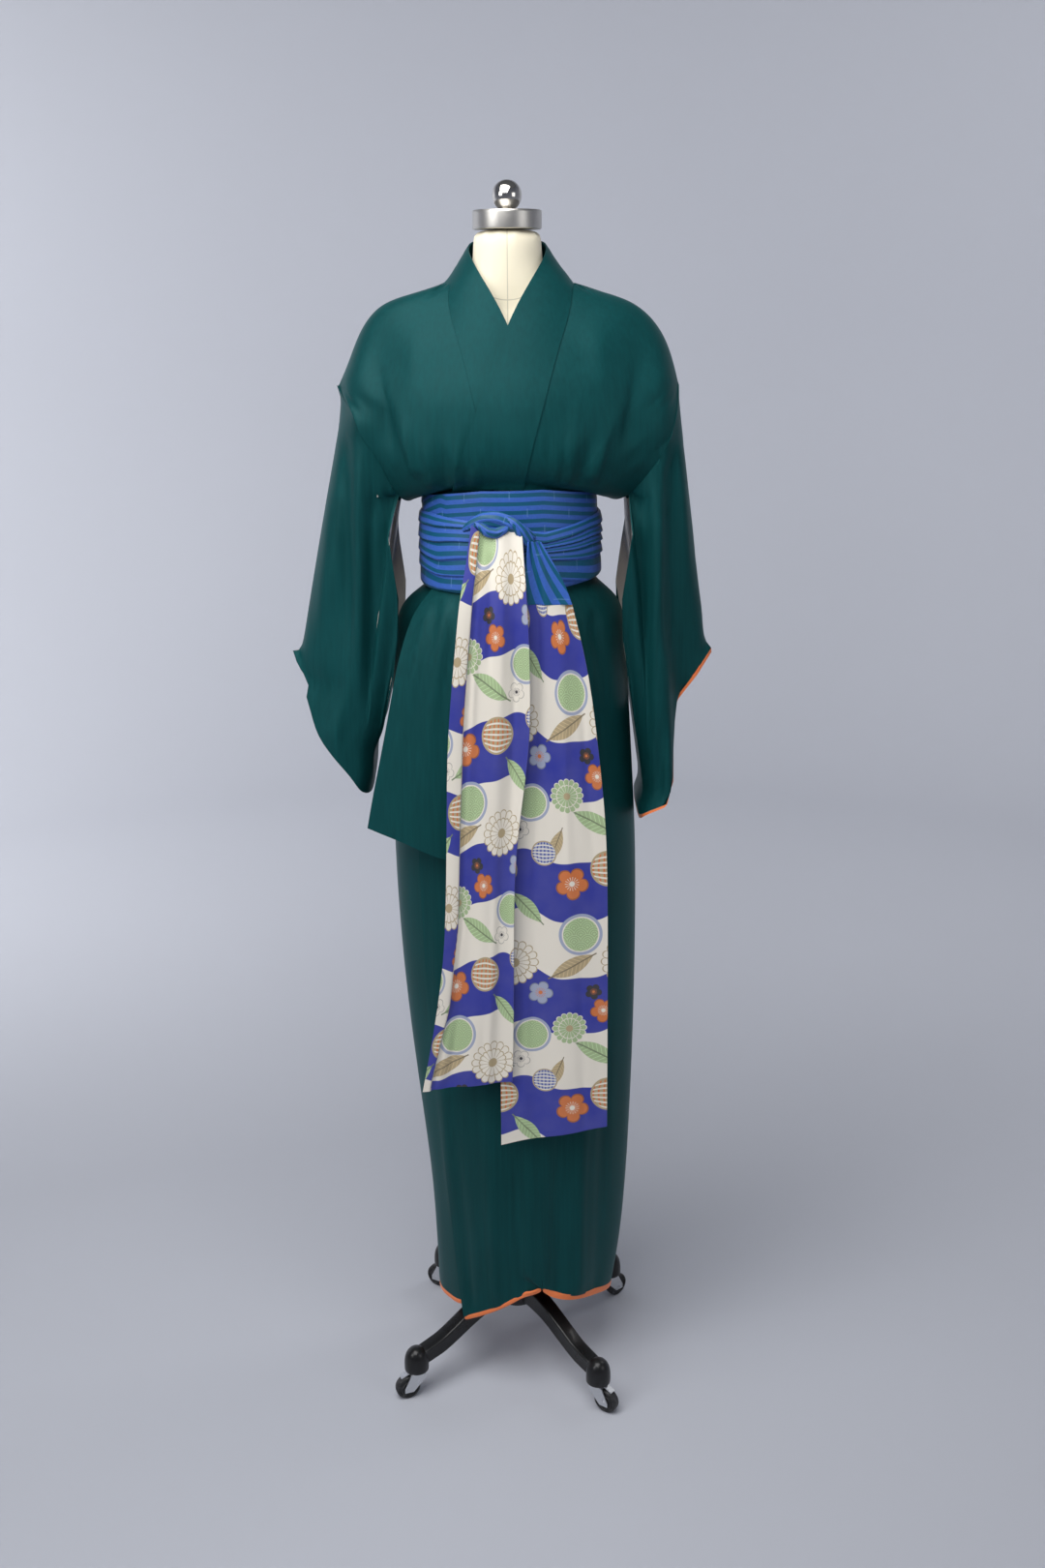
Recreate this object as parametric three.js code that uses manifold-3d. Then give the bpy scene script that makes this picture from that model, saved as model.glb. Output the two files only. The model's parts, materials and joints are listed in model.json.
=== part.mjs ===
// A kimono robe wrapped on a limbless dress form that stands on four casters.
// Millimetres, +Z up, front of the robe towards -Y, floor at Z = 0.
import * as THREE from 'three';
import { mergeVertices } from 'three/addons/utils/BufferGeometryUtils.js';
import Module from 'manifold-3d';

const wasm = await Module();
wasm.setup();

// ---------------------------------------------------------------- driving sizes
const CLOTH = 2.0;            // thickness of the lined silk wall
const BELT_CLOTH = 2.4;       // thickness of the folded sash wall
const SEAM_GAP = 0.3;         // clear space between two pieces that are sewn together
const UNDER_LAYER = -5.0;     // how far the wrapped-under front lies inside the outer one
const UNDER_CHEST = -7.5;     // the same on the chest, where the collar bands cross
const EDGING_HEIGHT = 10;     // height of the lining that rolls out under the hem
const EDGING_THICKNESS = 4;   // thickness of that rolled lining
const BELT_UPPER_OFFSET = 9.1;
const BELT_LOWER_OFFSET = 14.2;
const BELT_PLEATS = 3;
const PLEAT_RISE = 2.6;
const NECK_RADIUS = 45;
const NECK_TOP = 1699;
const CAP_HEIGHT = 24;
const BALL_RADIUS = 19.5;
const BALL_CENTRE = 1741;
const TORSO_BOTTOM = 930;
const POLE_RADIUS = 16;
const HUB_TOP = 130;
const LEG_REACH = 197;
const LEG_WIDTH = 24;
const BASE_TURN = -6.57;      // degrees that the base is turned about the pole
const WHEEL_RADIUS = 19;
const WHEEL_WIDTH = 13;
const WHEEL_SIDES = 24;
const WHEEL_OFFSET = 15;      // trail of the wheel behind its swivel axis
const AXLE_RADIUS = 3;
const BORE_CLEARANCE = 0.4;
const ARM_GAP = 1.5;          // space along the sleeve between it and the armhole edge

// Rings of the robe from hem to neck: reach to each side, depth to front and back,
// x of the armhole edges, and how much lower the ring lies at those edges.
const RINGS = [
  { height: 90, left: 121, right: 146, front: 112, back: 106, drop: 0, armLeft: 121, armRight: 146 },
  { height: 125, left: 122, right: 149, front: 113, back: 107, drop: 0, armLeft: 122, armRight: 149 },
  { height: 175, left: 123, right: 157, front: 114, back: 109, drop: 0, armLeft: 123, armRight: 157 },
  { height: 280, left: 127, right: 168, front: 116, back: 112, drop: 0, armLeft: 127, armRight: 168 },
  { height: 360, left: 133, right: 172, front: 117, back: 114, drop: 0, armLeft: 133, armRight: 172 },
  { height: 458, left: 144, right: 175, front: 118, back: 116, drop: 0, armLeft: 144, armRight: 175 },
  { height: 647, left: 162, right: 179, front: 120, back: 120, drop: 0, armLeft: 162, armRight: 179 },
  { height: 842, left: 171, right: 178, front: 121, back: 124, drop: 0, armLeft: 171, armRight: 178 },
  { height: 1000, left: 169, right: 169, front: 119, back: 126, drop: 0, armLeft: 169, armRight: 169 },
  { height: 1100, left: 167, right: 163, front: 116, back: 124, drop: 0, armLeft: 167, armRight: 163 },
  { height: 1154, left: 164, right: 160, front: 113, back: 120, drop: 0, armLeft: 164, armRight: 160 },
  { height: 1190, left: 158, right: 157, front: 110, back: 114, drop: 0, armLeft: 158, armRight: 157 },
  { height: 1210, left: 149, right: 151, front: 106, back: 107, drop: 0, armLeft: 149, armRight: 151 },
  { height: 1224, left: 136, right: 141, front: 102, back: 101, drop: 0, armLeft: 136, armRight: 141 },
  { height: 1238, left: 115, right: 124, front: 99, back: 95, drop: 0, armLeft: 115, armRight: 124 },
  { height: 1250, left: 109, right: 112, front: 98, back: 92, drop: 0, armLeft: 109, armRight: 112 },
  { height: 1264, left: 108, right: 108, front: 98, back: 92, drop: 0, armLeft: 108, armRight: 108 },
  { height: 1345, left: 108, right: 108, front: 98, back: 92, drop: 0, armLeft: 108, armRight: 108 },
  { height: 1376, left: 109, right: 109, front: 99, back: 93, drop: 12, armLeft: 109, armRight: 109 },
  { height: 1384, left: 122, right: 123, front: 102, back: 99, drop: 18, armLeft: 121, armRight: 122 },
  { height: 1388, left: 142, right: 146, front: 105, back: 104, drop: 36, armLeft: 133, armRight: 138 },
  { height: 1396, left: 178, right: 184, front: 111, back: 109, drop: 34, armLeft: 150, armRight: 160 },
  { height: 1408, left: 205, right: 210, front: 118, back: 114, drop: 24, armLeft: 163, armRight: 177 },
  { height: 1430, left: 224, right: 226, front: 122, back: 117, drop: 16, armLeft: 176, armRight: 200 },
  { height: 1452, left: 229, right: 231, front: 120, back: 118, drop: 10, armLeft: 196, armRight: 215 },
  { height: 1478, left: 230, right: 231, front: 116, back: 117, drop: 5, armLeft: 205, armRight: 222 },
  { height: 1502, left: 227, right: 226, front: 110, back: 114, drop: 0, armLeft: 227, armRight: 226 },
  { height: 1530, left: 213, right: 219, front: 98, back: 111, drop: 0, armLeft: 213, armRight: 219 },
  { height: 1563, left: 200, right: 207, front: 84, back: 106, drop: 0, armLeft: 200, armRight: 207 },
  { height: 1590, left: 184, right: 187, front: 66, back: 98, drop: 0, armLeft: 184, armRight: 187 },
  { height: 1609, left: 161, right: 160, front: 54, back: 91, drop: 0, armLeft: 161, armRight: 160 },
  { height: 1620, left: 126, right: 126, front: 48, back: 86, drop: 0, armLeft: 126, armRight: 126 },
  { height: 1628, left: 101, right: 101, front: 45, back: 82, drop: 0, armLeft: 101, armRight: 101 },
  { height: 1634, left: 86, right: 86, front: 42, back: 78, drop: 0, armLeft: 86, armRight: 86 },
];

// x of the long seams and free edges of the wrapped fronts, by height.
const SEAMS = [
  { height: 90, overEdge: -77, overSeam: 36, underSeam: -34, underEdge: 86 },
  { height: 175, overEdge: -88, overSeam: 37, underSeam: -34, underEdge: 88 },
  { height: 458, overEdge: -110, overSeam: 40, underSeam: -36, underEdge: 92 },
  { height: 842, overEdge: -132, overSeam: 38, underSeam: -36, underEdge: 92 },
  { height: 1154, overEdge: -124, overSeam: 30, underSeam: -30, underEdge: 86 },
  { height: 1217, overEdge: -104, overSeam: 25, underSeam: -26, underEdge: 76 },
  { height: 1252, overEdge: -84, overSeam: 20, underSeam: -22, underEdge: 66 },
  { height: 1345, overEdge: -76, overSeam: 16, underSeam: -18, underEdge: 60 },
  { height: 1391, overEdge: -72, overSeam: 22, underSeam: -26, underEdge: 58 },
  { height: 1482, overEdge: -40, overSeam: 45, underSeam: -46, underEdge: 34 },
  { height: 1550, overEdge: -14, overSeam: 64, underSeam: -64, underEdge: 12 },
  { height: 1605, overEdge: 6, overSeam: 81, underSeam: -81, underEdge: -8 },
  { height: 1636, overEdge: 24, overSeam: 84, underSeam: -84, underEdge: -26 },
];

// Height of each hem by the angle round the body: 0 front, +90 right, 180 back.
const OVER_HEM = [
  { angle: -45, height: 110 }, { angle: -22, height: 140 }, { angle: -8, height: 158 },
  { angle: 13, height: 183 }, { angle: 17, height: 174 }, { angle: 28, height: 163 },
  { angle: 48, height: 152 }, { angle: 75, height: 134 }, { angle: 90, height: 127 },
];
const UNDER_HEM = [
  { angle: -90, height: 126 }, { angle: -66, height: 131 }, { angle: -48, height: 134 },
  { angle: -30, height: 166 }, { angle: 0, height: 198 }, { angle: 40, height: 208 },
];
const BACK_HEM = [
  { angle: 0, height: 150 }, { angle: 45, height: 144 }, { angle: 90, height: 127 },
];

// Soft folds of the skirt: where they stand at the hem and the waist, and how far.
const SKIRT_FOLDS = [
  { hemAngle: -12, waistAngle: -24, width: 9, rise: 2.0, to: 900 },
  { hemAngle: 34, waistAngle: 44, width: 10, rise: 3.0, to: 1150 },
  { hemAngle: 58, waistAngle: 68, width: 9, rise: -2.5, to: 1050 },
  { hemAngle: 128, waistAngle: 118, width: 12, rise: 4.0, to: 1180 },
  { hemAngle: 158, waistAngle: 164, width: 10, rise: -3.0, to: 1000 },
  { hemAngle: -150, waistAngle: -142, width: 12, rise: 4.0, to: 1150 },
  { hemAngle: -118, waistAngle: -112, width: 10, rise: -3.0, to: 1050 },
];

// Pleats that rise from the sash into the chest and the back, by x.
const CHEST_PLEATS = [
  { x: -96, width: 9, rise: 3.5, top: 1470 }, { x: -62, width: 8, rise: 3.0, top: 1450 },
  { x: 52, width: 8, rise: 3.0, top: 1450 }, { x: 84, width: 9, rise: 4.0, top: 1480 },
  { x: 118, width: 10, rise: 3.0, top: 1470 },
];

// Lines of each sleeve from the armhole or the open inner edge down to the cuff.
// Rows run from the fold along the top of the arm to the seam along the bottom.
// armHeight is the height of the ring whose armhole edge the line starts from.
const SLEEVE_RIGHT = [
  { armHeight: 1502, cuffX: 277, cuffDepth: 22, cuffZ: 1148, belly: 2 },
  { armHeight: 1476, cuffX: 257, cuffDepth: 44, cuffZ: 1122, belly: 4 },
  { armHeight: 1450, cuffX: 224, cuffDepth: 50, cuffZ: 1080, belly: -6 },
  { armHeight: 1428, cuffX: 223, cuffDepth: 92, cuffZ: 944, belly: 4 },
  { armHeight: 1408, cuffX: 214, cuffDepth: 89, cuffZ: 936, belly: 4 },
  { armHeight: 1396, cuffX: 205, cuffDepth: 84, cuffZ: 929, belly: 4 },
  { x: 163, depth: 80, z: 1316, cuffX: 196, cuffDepth: 72, cuffZ: 922, belly: 3 },
  { x: 150, depth: 74, z: 1228, cuffX: 191, cuffDepth: 54, cuffZ: 917, belly: 3 },
  { x: 160, depth: 68, z: 1120, cuffX: 190, cuffDepth: 36, cuffZ: 915, belly: 2 },
  { x: 182, depth: 30, z: 1062, cuffX: 190, cuffDepth: 20, cuffZ: 914, belly: 0 },
];
const SLEEVE_LEFT = [
  { armHeight: 1502, cuffX: 302, cuffDepth: 22, cuffZ: 1148, belly: 2 },
  { armHeight: 1476, cuffX: 282, cuffDepth: 46, cuffZ: 1088, belly: 4 },
  { armHeight: 1450, cuffX: 258, cuffDepth: 56, cuffZ: 1046, belly: -5 },
  { armHeight: 1428, cuffX: 236, cuffDepth: 78, cuffZ: 1006, belly: 5 },
  { armHeight: 1408, cuffX: 226, cuffDepth: 78, cuffZ: 988, belly: 5 },
  { armHeight: 1396, cuffX: 217, cuffDepth: 75, cuffZ: 970, belly: 4 },
  { x: 161, depth: 80, z: 1316, cuffX: 210, cuffDepth: 66, cuffZ: 956, belly: 2 },
  { x: 150, depth: 74, z: 1230, cuffX: 204, cuffDepth: 52, cuffZ: 950, belly: 2 },
  { x: 162, depth: 68, z: 1120, cuffX: 201, cuffDepth: 36, cuffZ: 948, belly: 0 },
  { x: 184, depth: 30, z: 1062, cuffX: 200, cuffDepth: 20, cuffZ: 947, belly: 0 },
];

// Neck edge of the collar band, by station from the middle of the back to the sash.
const COLLAR_EDGE = [
  { station: 0, x: 0.9, y: 64, z: 1690 },
  { station: 1, x: 36, y: 52, z: 1689 },
  { station: 2, x: 52, y: 24, z: 1683 },
  { station: 3, x: 51, y: -10, z: 1671 },
  { station: 4, x: 42, y: -34, z: 1655 },
  { station: 6, x: 22, y: -60, z: 1623 },
  { station: 8, x: 4, y: -79, z: 1590 },
  { station: 10, x: -20, y: -104, z: 1532 },
  { station: 12, x: -42, y: -116, z: 1472 },
  { station: 14, x: -58, y: -118, z: 1428 },
  { station: 16, x: -70, y: -116, z: 1395 },
  { station: 18, x: -74, y: -112, z: 1377 },
];
// Stations on the neckline: angles round the back, then rings down the front seam.
const NECK_ANGLES = [179.4, 140, 105];
const NECK_RINGS = [1630, 1621, 1611, 1600, 1582, 1558, 1530, 1502, 1476, 1450, 1428, 1408, 1396,
  1388, 1384, 1376];

// The front overfold that hangs from under the sash, by height.
const OVERFOLD = [
  { height: 870, left: -203, right: 62, reach: 240, depth: 134 },
  { height: 909, left: -197, right: 62, reach: 236, depth: 133 },
  { height: 1045, left: -170, right: 60, reach: 214, depth: 128 },
  { height: 1150, left: -150, right: 58, reach: 190, depth: 121 },
  { height: 1210, left: -128, right: 55, reach: 160, depth: 115 },
  { height: 1224, left: -117, right: 53, reach: 145, depth: 110 },
  { height: 1238, left: -106, right: 51, reach: 121, depth: 105 },
  { height: 1250, left: -98, right: 49, reach: 113.4, depth: 103.4 },
  { height: 1330, left: -86, right: 40, reach: 113.4, depth: 103.4 },
];
const OVERFOLD_HEM = [
  { x: -203, height: 909 }, { x: -156, height: 897 }, { x: -119, height: 884 },
  { x: -92, height: 876 }, { x: 62, height: 862 },
];

// Hanging ends of the sash, by height: side edges and distance in front of the pole.
const TAIL_LEFT = [
  { height: 540, left: -131, right: -3, depth: 146 },
  { height: 665, left: -106, right: 0, depth: 149 },
  { height: 782, left: -93, right: 1, depth: 151 },
  { height: 895, left: -89, right: 5, depth: 152 },
  { height: 1059, left: -84, right: 25, depth: 153 },
  { height: 1138, left: -76, right: 26, depth: 154 },
  { height: 1241, left: -65, right: 22, depth: 155 },
  { height: 1291, left: -62, right: 20, depth: 153 },
  { height: 1310, left: -53, right: 18, depth: 146 },
  { height: 1322, left: -48, right: 16, depth: 134 },
];
const TAIL_RIGHT = [
  { height: 455, left: -20, right: 133, depth: 138 },
  { height: 700, left: -19, right: 132, depth: 140 },
  { height: 864, left: -18, right: 130, depth: 141 },
  { height: 933, left: -17, right: 127, depth: 141 },
  { height: 1056, left: -8, right: 114, depth: 141 },
  { height: 1136, left: 2, right: 104, depth: 141 },
  { height: 1213, left: 14, right: 86, depth: 141 },
  { height: 1235, left: 16, right: 80, depth: 141 },
  { height: 1262, left: 19, right: 70, depth: 140 },
  { height: 1290, left: 22, right: 54, depth: 139 },
  { height: 1314, left: 24, right: 40, depth: 136 },
];
const PRINT_SEAM = 1233;      // height where the striped side of the right end is seamed

// Edges of the two wraps of the sash by angle round the body.
const BELT_EDGES = [
  { angle: -180, top: 1364, wrapTop: 1344, bottom: 1244 },
  { angle: -90, top: 1360, wrapTop: 1341, bottom: 1243 },
  { angle: -60, top: 1365, wrapTop: 1342, bottom: 1241 },
  { angle: -18, top: 1375, wrapTop: 1335, bottom: 1240 },
  { angle: 22, top: 1376, wrapTop: 1321, bottom: 1244 },
  { angle: 60, top: 1367, wrapTop: 1334, bottom: 1250 },
  { angle: 90, top: 1360, wrapTop: 1339, bottom: 1254 },
  { angle: 180, top: 1364, wrapTop: 1344, bottom: 1244 },
];

// Sections of the dress form.
const FORM = [
  { height: TORSO_BOTTOM, side: 138, front: 92, back: 96 },
  { height: 945, side: 145, front: 99, back: 104 },
  { height: 1010, side: 150, front: 102, back: 112 },
  { height: 1080, side: 147, front: 100, back: 112 },
  { height: 1150, side: 136, front: 96, back: 102 },
  { height: 1205, side: 120, front: 92, back: 92 },
  { height: 1262, side: 99, front: 87, back: 80 },
  { height: 1320, side: 95, front: 85, back: 78 },
  { height: 1368, side: 96, front: 83, back: 82 },
  { height: 1420, side: 116, front: 94, back: 92 },
  { height: 1470, side: 135, front: 99, back: 98 },
  { height: 1520, side: 154, front: 82, back: 98 },
  { height: 1560, side: 168, front: 62, back: 92 },
  { height: 1588, side: 164, front: 47, back: 84 },
  { height: 1604, side: 148, front: 42, back: 76 },
  { height: 1616, side: 110, front: 42, back: 66 },
  { height: 1630, side: 66, front: 43, back: 54 },
  { height: 1648, side: 48, front: 44, back: 46 },
  { height: 1672, side: NECK_RADIUS, front: NECK_RADIUS, back: NECK_RADIUS },
  { height: NECK_TOP, side: NECK_RADIUS, front: NECK_RADIUS, back: NECK_RADIUS },
];

const FORM_RINGS = [TORSO_BOTTOM, 937, 955, 1000, 1050, 1100, 1150, 1200, 1240, 1280, 1320, 1360, 1400,
  1440, 1480, 1515, 1545, 1570, 1588, 1601, 1611, 1621, 1633, 1650, 1672, NECK_TOP];

// Centre line of a base leg from the hub out to the caster, and its depth.
const LEG = [
  { reach: 0, height: 111, depth: 34 }, { reach: 35, height: 112, depth: 32 },
  { reach: 75, height: 105, depth: 30 }, { reach: 115, height: 88, depth: 28 },
  { reach: 150, height: 73, depth: 26 }, { reach: 190, height: 66, depth: 24 },
];

// ---------------------------------------------------------------- curves and walls
const radians = (degrees) => degrees * Math.PI / 180;

const clamp = (value, low, high) => Math.min(high, Math.max(low, value));

function smooth(value, low, high) {
  const t = clamp((value - low) / (high - low), 0, 1);
  return t * t * (3 - 2 * t);
}

function bump(value, centre, width) {
  const t = (value - centre) / width;
  return Math.exp(-t * t);
}

function spread(count, low = 0, high = 1) {
  return Array.from({ length: count + 1 }, (_, i) => low + (high - low) * i / count);
}

// Smooth curve through one column of a table that never overshoots its rows.
function follow(rows, key, column) {
  const x = rows.map((row) => row[key]);
  const y = rows.map((row) => row[column]);
  const last = x.length - 1;
  const rise = x.slice(1).map((value, i) => (y[i + 1] - y[i]) / (value - x[i]));
  const slope = x.map((_, i) => {
    if (i === 0) return rise[0];
    if (i === last) return rise[last - 1];
    if (rise[i - 1] * rise[i] <= 0) return 0;
    return 2 * rise[i - 1] * rise[i] / (rise[i - 1] + rise[i]);
  });
  return (at) => {
    if (at <= x[0]) return y[0];
    if (at >= x[last]) return y[last];
    let i = 0;
    while (at > x[i + 1]) i += 1;
    const span = x[i + 1] - x[i];
    const t = (at - x[i]) / span;
    const s = 1 - t;
    return y[i] * s * s * (1 + 2 * t) + y[i + 1] * t * t * (3 - 2 * t)
      + span * t * s * (slope[i] * s - slope[i + 1] * t);
  };
}

function followAll(rows, key, columns) {
  return Object.fromEntries(columns.map((column) => [column, follow(rows, key, column)]));
}

function volumeOf(positions, faces) {
  let sum = 0;
  const a = new THREE.Vector3();
  const b = new THREE.Vector3();
  const c = new THREE.Vector3();
  for (let i = 0; i < faces.length; i += 3) {
    a.fromArray(positions, faces[i] * 3);
    b.fromArray(positions, faces[i + 1] * 3);
    c.fromArray(positions, faces[i + 2] * 3);
    sum += a.dot(b.cross(c));
  }
  return sum;
}

function closedGeometry(positions, faces) {
  const outward = volumeOf(positions, faces) > 0;
  const ordered = outward ? faces : faces.slice().reverse();
  const geometry = new THREE.BufferGeometry();
  geometry.setAttribute('position', new THREE.Float32BufferAttribute(positions, 3));
  geometry.setIndex(ordered);
  return geometry;
}

// Wall of even thickness on a surface(u, v), open at its edges or ringed along u.
function clothWall(surface, across, along, thickness, ringed = false) {
  const positions = [];
  const step = 1e-3;
  const [firstU, lastU] = [across[0], across[across.length - 1]];
  const [firstV, lastV] = [along[0], along[along.length - 1]];
  for (const side of [0.5, -0.5]) {
    for (const v of along) {
      for (const u of across) {
        const point = surface(u, v);
        const du = ringed
          ? surface(u + step, v).sub(surface(u - step, v))
          : surface(Math.min(u + step, lastU), v).sub(surface(Math.max(u - step, firstU), v));
        const dv = surface(u, Math.min(v + step, lastV)).sub(surface(u, Math.max(v - step, firstV)));
        const normal = du.cross(dv).normalize();
        point.addScaledVector(normal, side * thickness);
        positions.push(point.x, point.y, point.z);
      }
    }
  }
  const width = across.length;
  const height = along.length;
  const inner = width * height;
  const faces = [];
  const quad = (a, b, c, d) => faces.push(a, b, c, a, c, d);
  const spans = ringed ? width : width - 1;
  for (let j = 0; j < height - 1; j += 1) {
    for (let i = 0; i < spans; i += 1) {
      const next = (i + 1) % width;
      const a = j * width + i;
      const b = j * width + next;
      const c = b + width;
      const d = a + width;
      quad(a, b, c, d);
      quad(inner + a, inner + d, inner + c, inner + b);
    }
  }
  for (let i = 0; i < spans; i += 1) {
    const next = (i + 1) % width;
    const top = (height - 1) * width;
    quad(i, inner + i, inner + next, next);
    quad(top + i, top + next, inner + top + next, inner + top + i);
  }
  if (!ringed) {
    for (let j = 0; j < height - 1; j += 1) {
      const a = j * width;
      const b = a + width - 1;
      quad(a, a + width, inner + a + width, inner + a);
      quad(b, inner + b, inner + b + width, b + width);
    }
  }
  return closedGeometry(positions, faces);
}

// Solid skinned over a stack of closed rings, with flat ends.
function ringSolid(rings) {
  const count = rings[0].length;
  const positions = rings.flat().flatMap((point) => [point.x, point.y, point.z]);
  const faces = [];
  for (let j = 0; j < rings.length - 1; j += 1) {
    for (let i = 0; i < count; i += 1) {
      const next = (i + 1) % count;
      const a = j * count + i;
      const b = j * count + next;
      faces.push(a, b, b + count, a, b + count, a + count);
    }
  }
  const cap = (start, reversed) => {
    const middle = new THREE.Vector3();
    for (let i = 0; i < count; i += 1) {
      middle.x += positions[(start + i) * 3] / count;
      middle.y += positions[(start + i) * 3 + 1] / count;
      middle.z += positions[(start + i) * 3 + 2] / count;
    }
    const centre = positions.length / 3;
    positions.push(middle.x, middle.y, middle.z);
    for (let i = 0; i < count; i += 1) {
      const next = (i + 1) % count;
      if (reversed) faces.push(centre, start + next, start + i);
      else faces.push(centre, start + i, start + next);
    }
  };
  cap(0, true);
  cap((rings.length - 1) * count, false);
  return closedGeometry(positions, faces);
}

// Turned solid about the vertical axis from a list of [radius, height].
function turned(profile, sides) {
  const points = profile.map(([radius, height]) => new THREE.Vector2(radius, height));
  return new THREE.LatheGeometry(points, sides).rotateX(Math.PI / 2);
}

function toManifold(geometry) {
  const bare = geometry.clone();
  bare.deleteAttribute('normal');
  bare.deleteAttribute('uv');
  const merged = mergeVertices(bare.index ? bare.toNonIndexed() : bare, 1e-4);
  const kept = [];
  const index = merged.index.array;
  for (let i = 0; i < index.length; i += 3) {
    const [a, b, c] = [index[i], index[i + 1], index[i + 2]];
    if (a !== b && b !== c && a !== c) kept.push(a, b, c);
  }
  return new wasm.Manifold(new wasm.Mesh({
    numProp: 3,
    vertProperties: new Float32Array(merged.attributes.position.array),
    triVerts: new Uint32Array(kept),
  }));
}

function fromManifold(solid) {
  const mesh = solid.getMesh();
  const geometry = new THREE.BufferGeometry();
  geometry.setAttribute('position', new THREE.BufferAttribute(mesh.vertProperties, 3));
  geometry.setIndex(new THREE.BufferAttribute(mesh.triVerts, 1));
  return geometry;
}

function joined(geometries) {
  return fromManifold(geometries.map(toManifold).reduce((sum, solid) => sum.add(solid)));
}

// ---------------------------------------------------------------- the robe's surface
const ring = followAll(RINGS, 'height',
  ['left', 'right', 'front', 'back', 'drop', 'armLeft', 'armRight']);
const seam = followAll(SEAMS, 'height', ['overEdge', 'overSeam', 'underSeam', 'underEdge']);
const overHem = follow(OVER_HEM, 'angle', 'height');
const underHem = follow(UNDER_HEM, 'angle', 'height');
const backHem = follow(BACK_HEM, 'angle', 'height');

function skirtFold(angle, height) {
  const part = clamp((height - 125) / 1050, 0, 1);
  let rise = 0;
  for (const fold of SKIRT_FOLDS) {
    const centre = fold.hemAngle + (fold.waistAngle - fold.hemAngle) * part;
    const fade = 1 - smooth(height, fold.to - 250, fold.to);
    rise += fold.rise * fade * bump(angle, centre, fold.width);
  }
  return rise;
}

// Valley beside the chest and crest of the shoulder drape, as a depth to add.
function shoulderDrape(x, height) {
  const side = Math.abs(x);
  const fade = smooth(height, 1375, 1410) * (1 - smooth(height, 1545, 1600));
  const valley = -10 * bump(side, 166, 20);
  const crest = 10 * bump(side, 206, 26) * (1 - smooth(height, 1480, 1560));
  return fade * (valley + crest);
}

function chestPleat(x, height) {
  let rise = 0;
  for (const pleat of CHEST_PLEATS) {
    const fade = smooth(height, 1370, 1392) * (1 - smooth(height, 1400, pleat.top));
    rise += pleat.rise * fade * bump(x, pleat.x, pleat.width);
  }
  return rise;
}

// Point of the robe at an angle round the body: 0 front, +90 right side, 180 back.
function robePoint(angle, height, offset = 0) {
  const turn = radians(angle);
  const level = clamp(height, RINGS[0].height, RINGS[RINGS.length - 1].height);
  const signed = angle > 180 ? angle - 360 : angle;
  const isRight = Math.sin(turn) >= 0;
  const fold = height < 1200 ? skirtFold(signed, height) : 0;
  const reach = (isRight ? ring.right(level) : ring.left(level)) + offset + fold;
  const arm = isRight ? ring.armRight(level) : ring.armLeft(level);
  const x = reach * Math.sin(turn);
  const facing = Math.cos(turn);
  let y;
  if (facing >= 0) {
    const depth = ring.front(level) + offset + fold;
    const drape = (shoulderDrape(x, level) + chestPleat(x, level)) * Math.min(1, 3 * facing);
    y = -depth * facing - drape;
  } else {
    const depth = ring.back(level) + offset + fold;
    const drape = shoulderDrape(x, level) * Math.min(1, -3 * facing);
    y = -depth * facing + 0.8 * drape;
  }
  const z = height - ring.drop(level) * Math.min(1.2, (x / arm) ** 2);
  return new THREE.Vector3(x, y, z);
}

// Angle of a place x on the front half at a height.
function angleOfX(x, height) {
  const reach = x < 0 ? ring.left(height) : ring.right(height);
  return Math.asin(clamp(x / reach, -1, 1)) * 180 / Math.PI;
}

const SKIRT_ROWS = [125, 170, 240, 330, 440, 570, 710, 850, 970, 1070, 1140, 1190];
const WAIST_ROWS = [1210, 1224, 1238, 1250, 1264, 1345];
const CHEST_ROWS = [1376, 1384, 1388, 1396, 1408, 1428, 1450, 1476, 1502];
const SHOULDER_ROWS = [1530, 1558, 1582, 1600, 1611, 1621, 1630];
const FULL_ROWS = [...SKIRT_ROWS, ...WAIST_ROWS, ...CHEST_ROWS, ...SHOULDER_ROWS];
const BELTED_ROWS = [...SKIRT_ROWS, ...WAIST_ROWS];

// Height of a row of cloth: near the hem the rows follow the hem's own line.
const HEM_BLEND = 300;
function rowHeight(level, low) {
  const fade = Math.max(0, 1 - (level - SKIRT_ROWS[0]) / HEM_BLEND);
  return level + (low - SKIRT_ROWS[0]) * fade;
}

// Panel between two edges given as angles by height, from its hem to its top row.
function panel(name, { from, to, hem, rows, across, offset = () => 0 }) {
  const base = rows[0];
  const rise = rows[rows.length - 1] - base;
  const surface = (u, v) => {
    const level = base + rise * v;
    const angle = from(level) + (to(level) - from(level)) * u;
    const height = rowHeight(level, hem(angle));
    return robePoint(angle, height, offset(angle, height));
  };
  const along = rows.map((row) => (row - base) / rise);
  return solid(name, clothWall(surface, across, along, CLOTH), SILK);
}

// Lining that rolls out below the hem of a panel.
function edging(name, { from, to, hem, rows, across, offset = () => 0 }) {
  const surface = (u, v) => {
    const angle = from(rows[0]) + (to(rows[0]) - from(rows[0])) * u;
    const height = hem(angle) - SEAM_GAP - (1 - v) * EDGING_HEIGHT;
    return robePoint(angle, height, offset(angle, height));
  };
  return solid(name, clothWall(surface, across, [0, 0.5, 1], EDGING_THICKNESS), LINING);
}

const gapAngle = (height) => SEAM_GAP / 2 / ring.right(height) * 180 / Math.PI;
const armAngleRight = (height) => angleOfX(ring.armRight(height), height);
const armAngleLeft = (height) => angleOfX(-ring.armLeft(height), height);
const wrapUnder = (angle) => UNDER_LAYER * smooth(angle, -78, -62);

// ---------------------------------------------------------------- materials
function finish(color, roughness, metalness = 0) {
  return new THREE.MeshStandardMaterial({ color, roughness, metalness });
}

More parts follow.
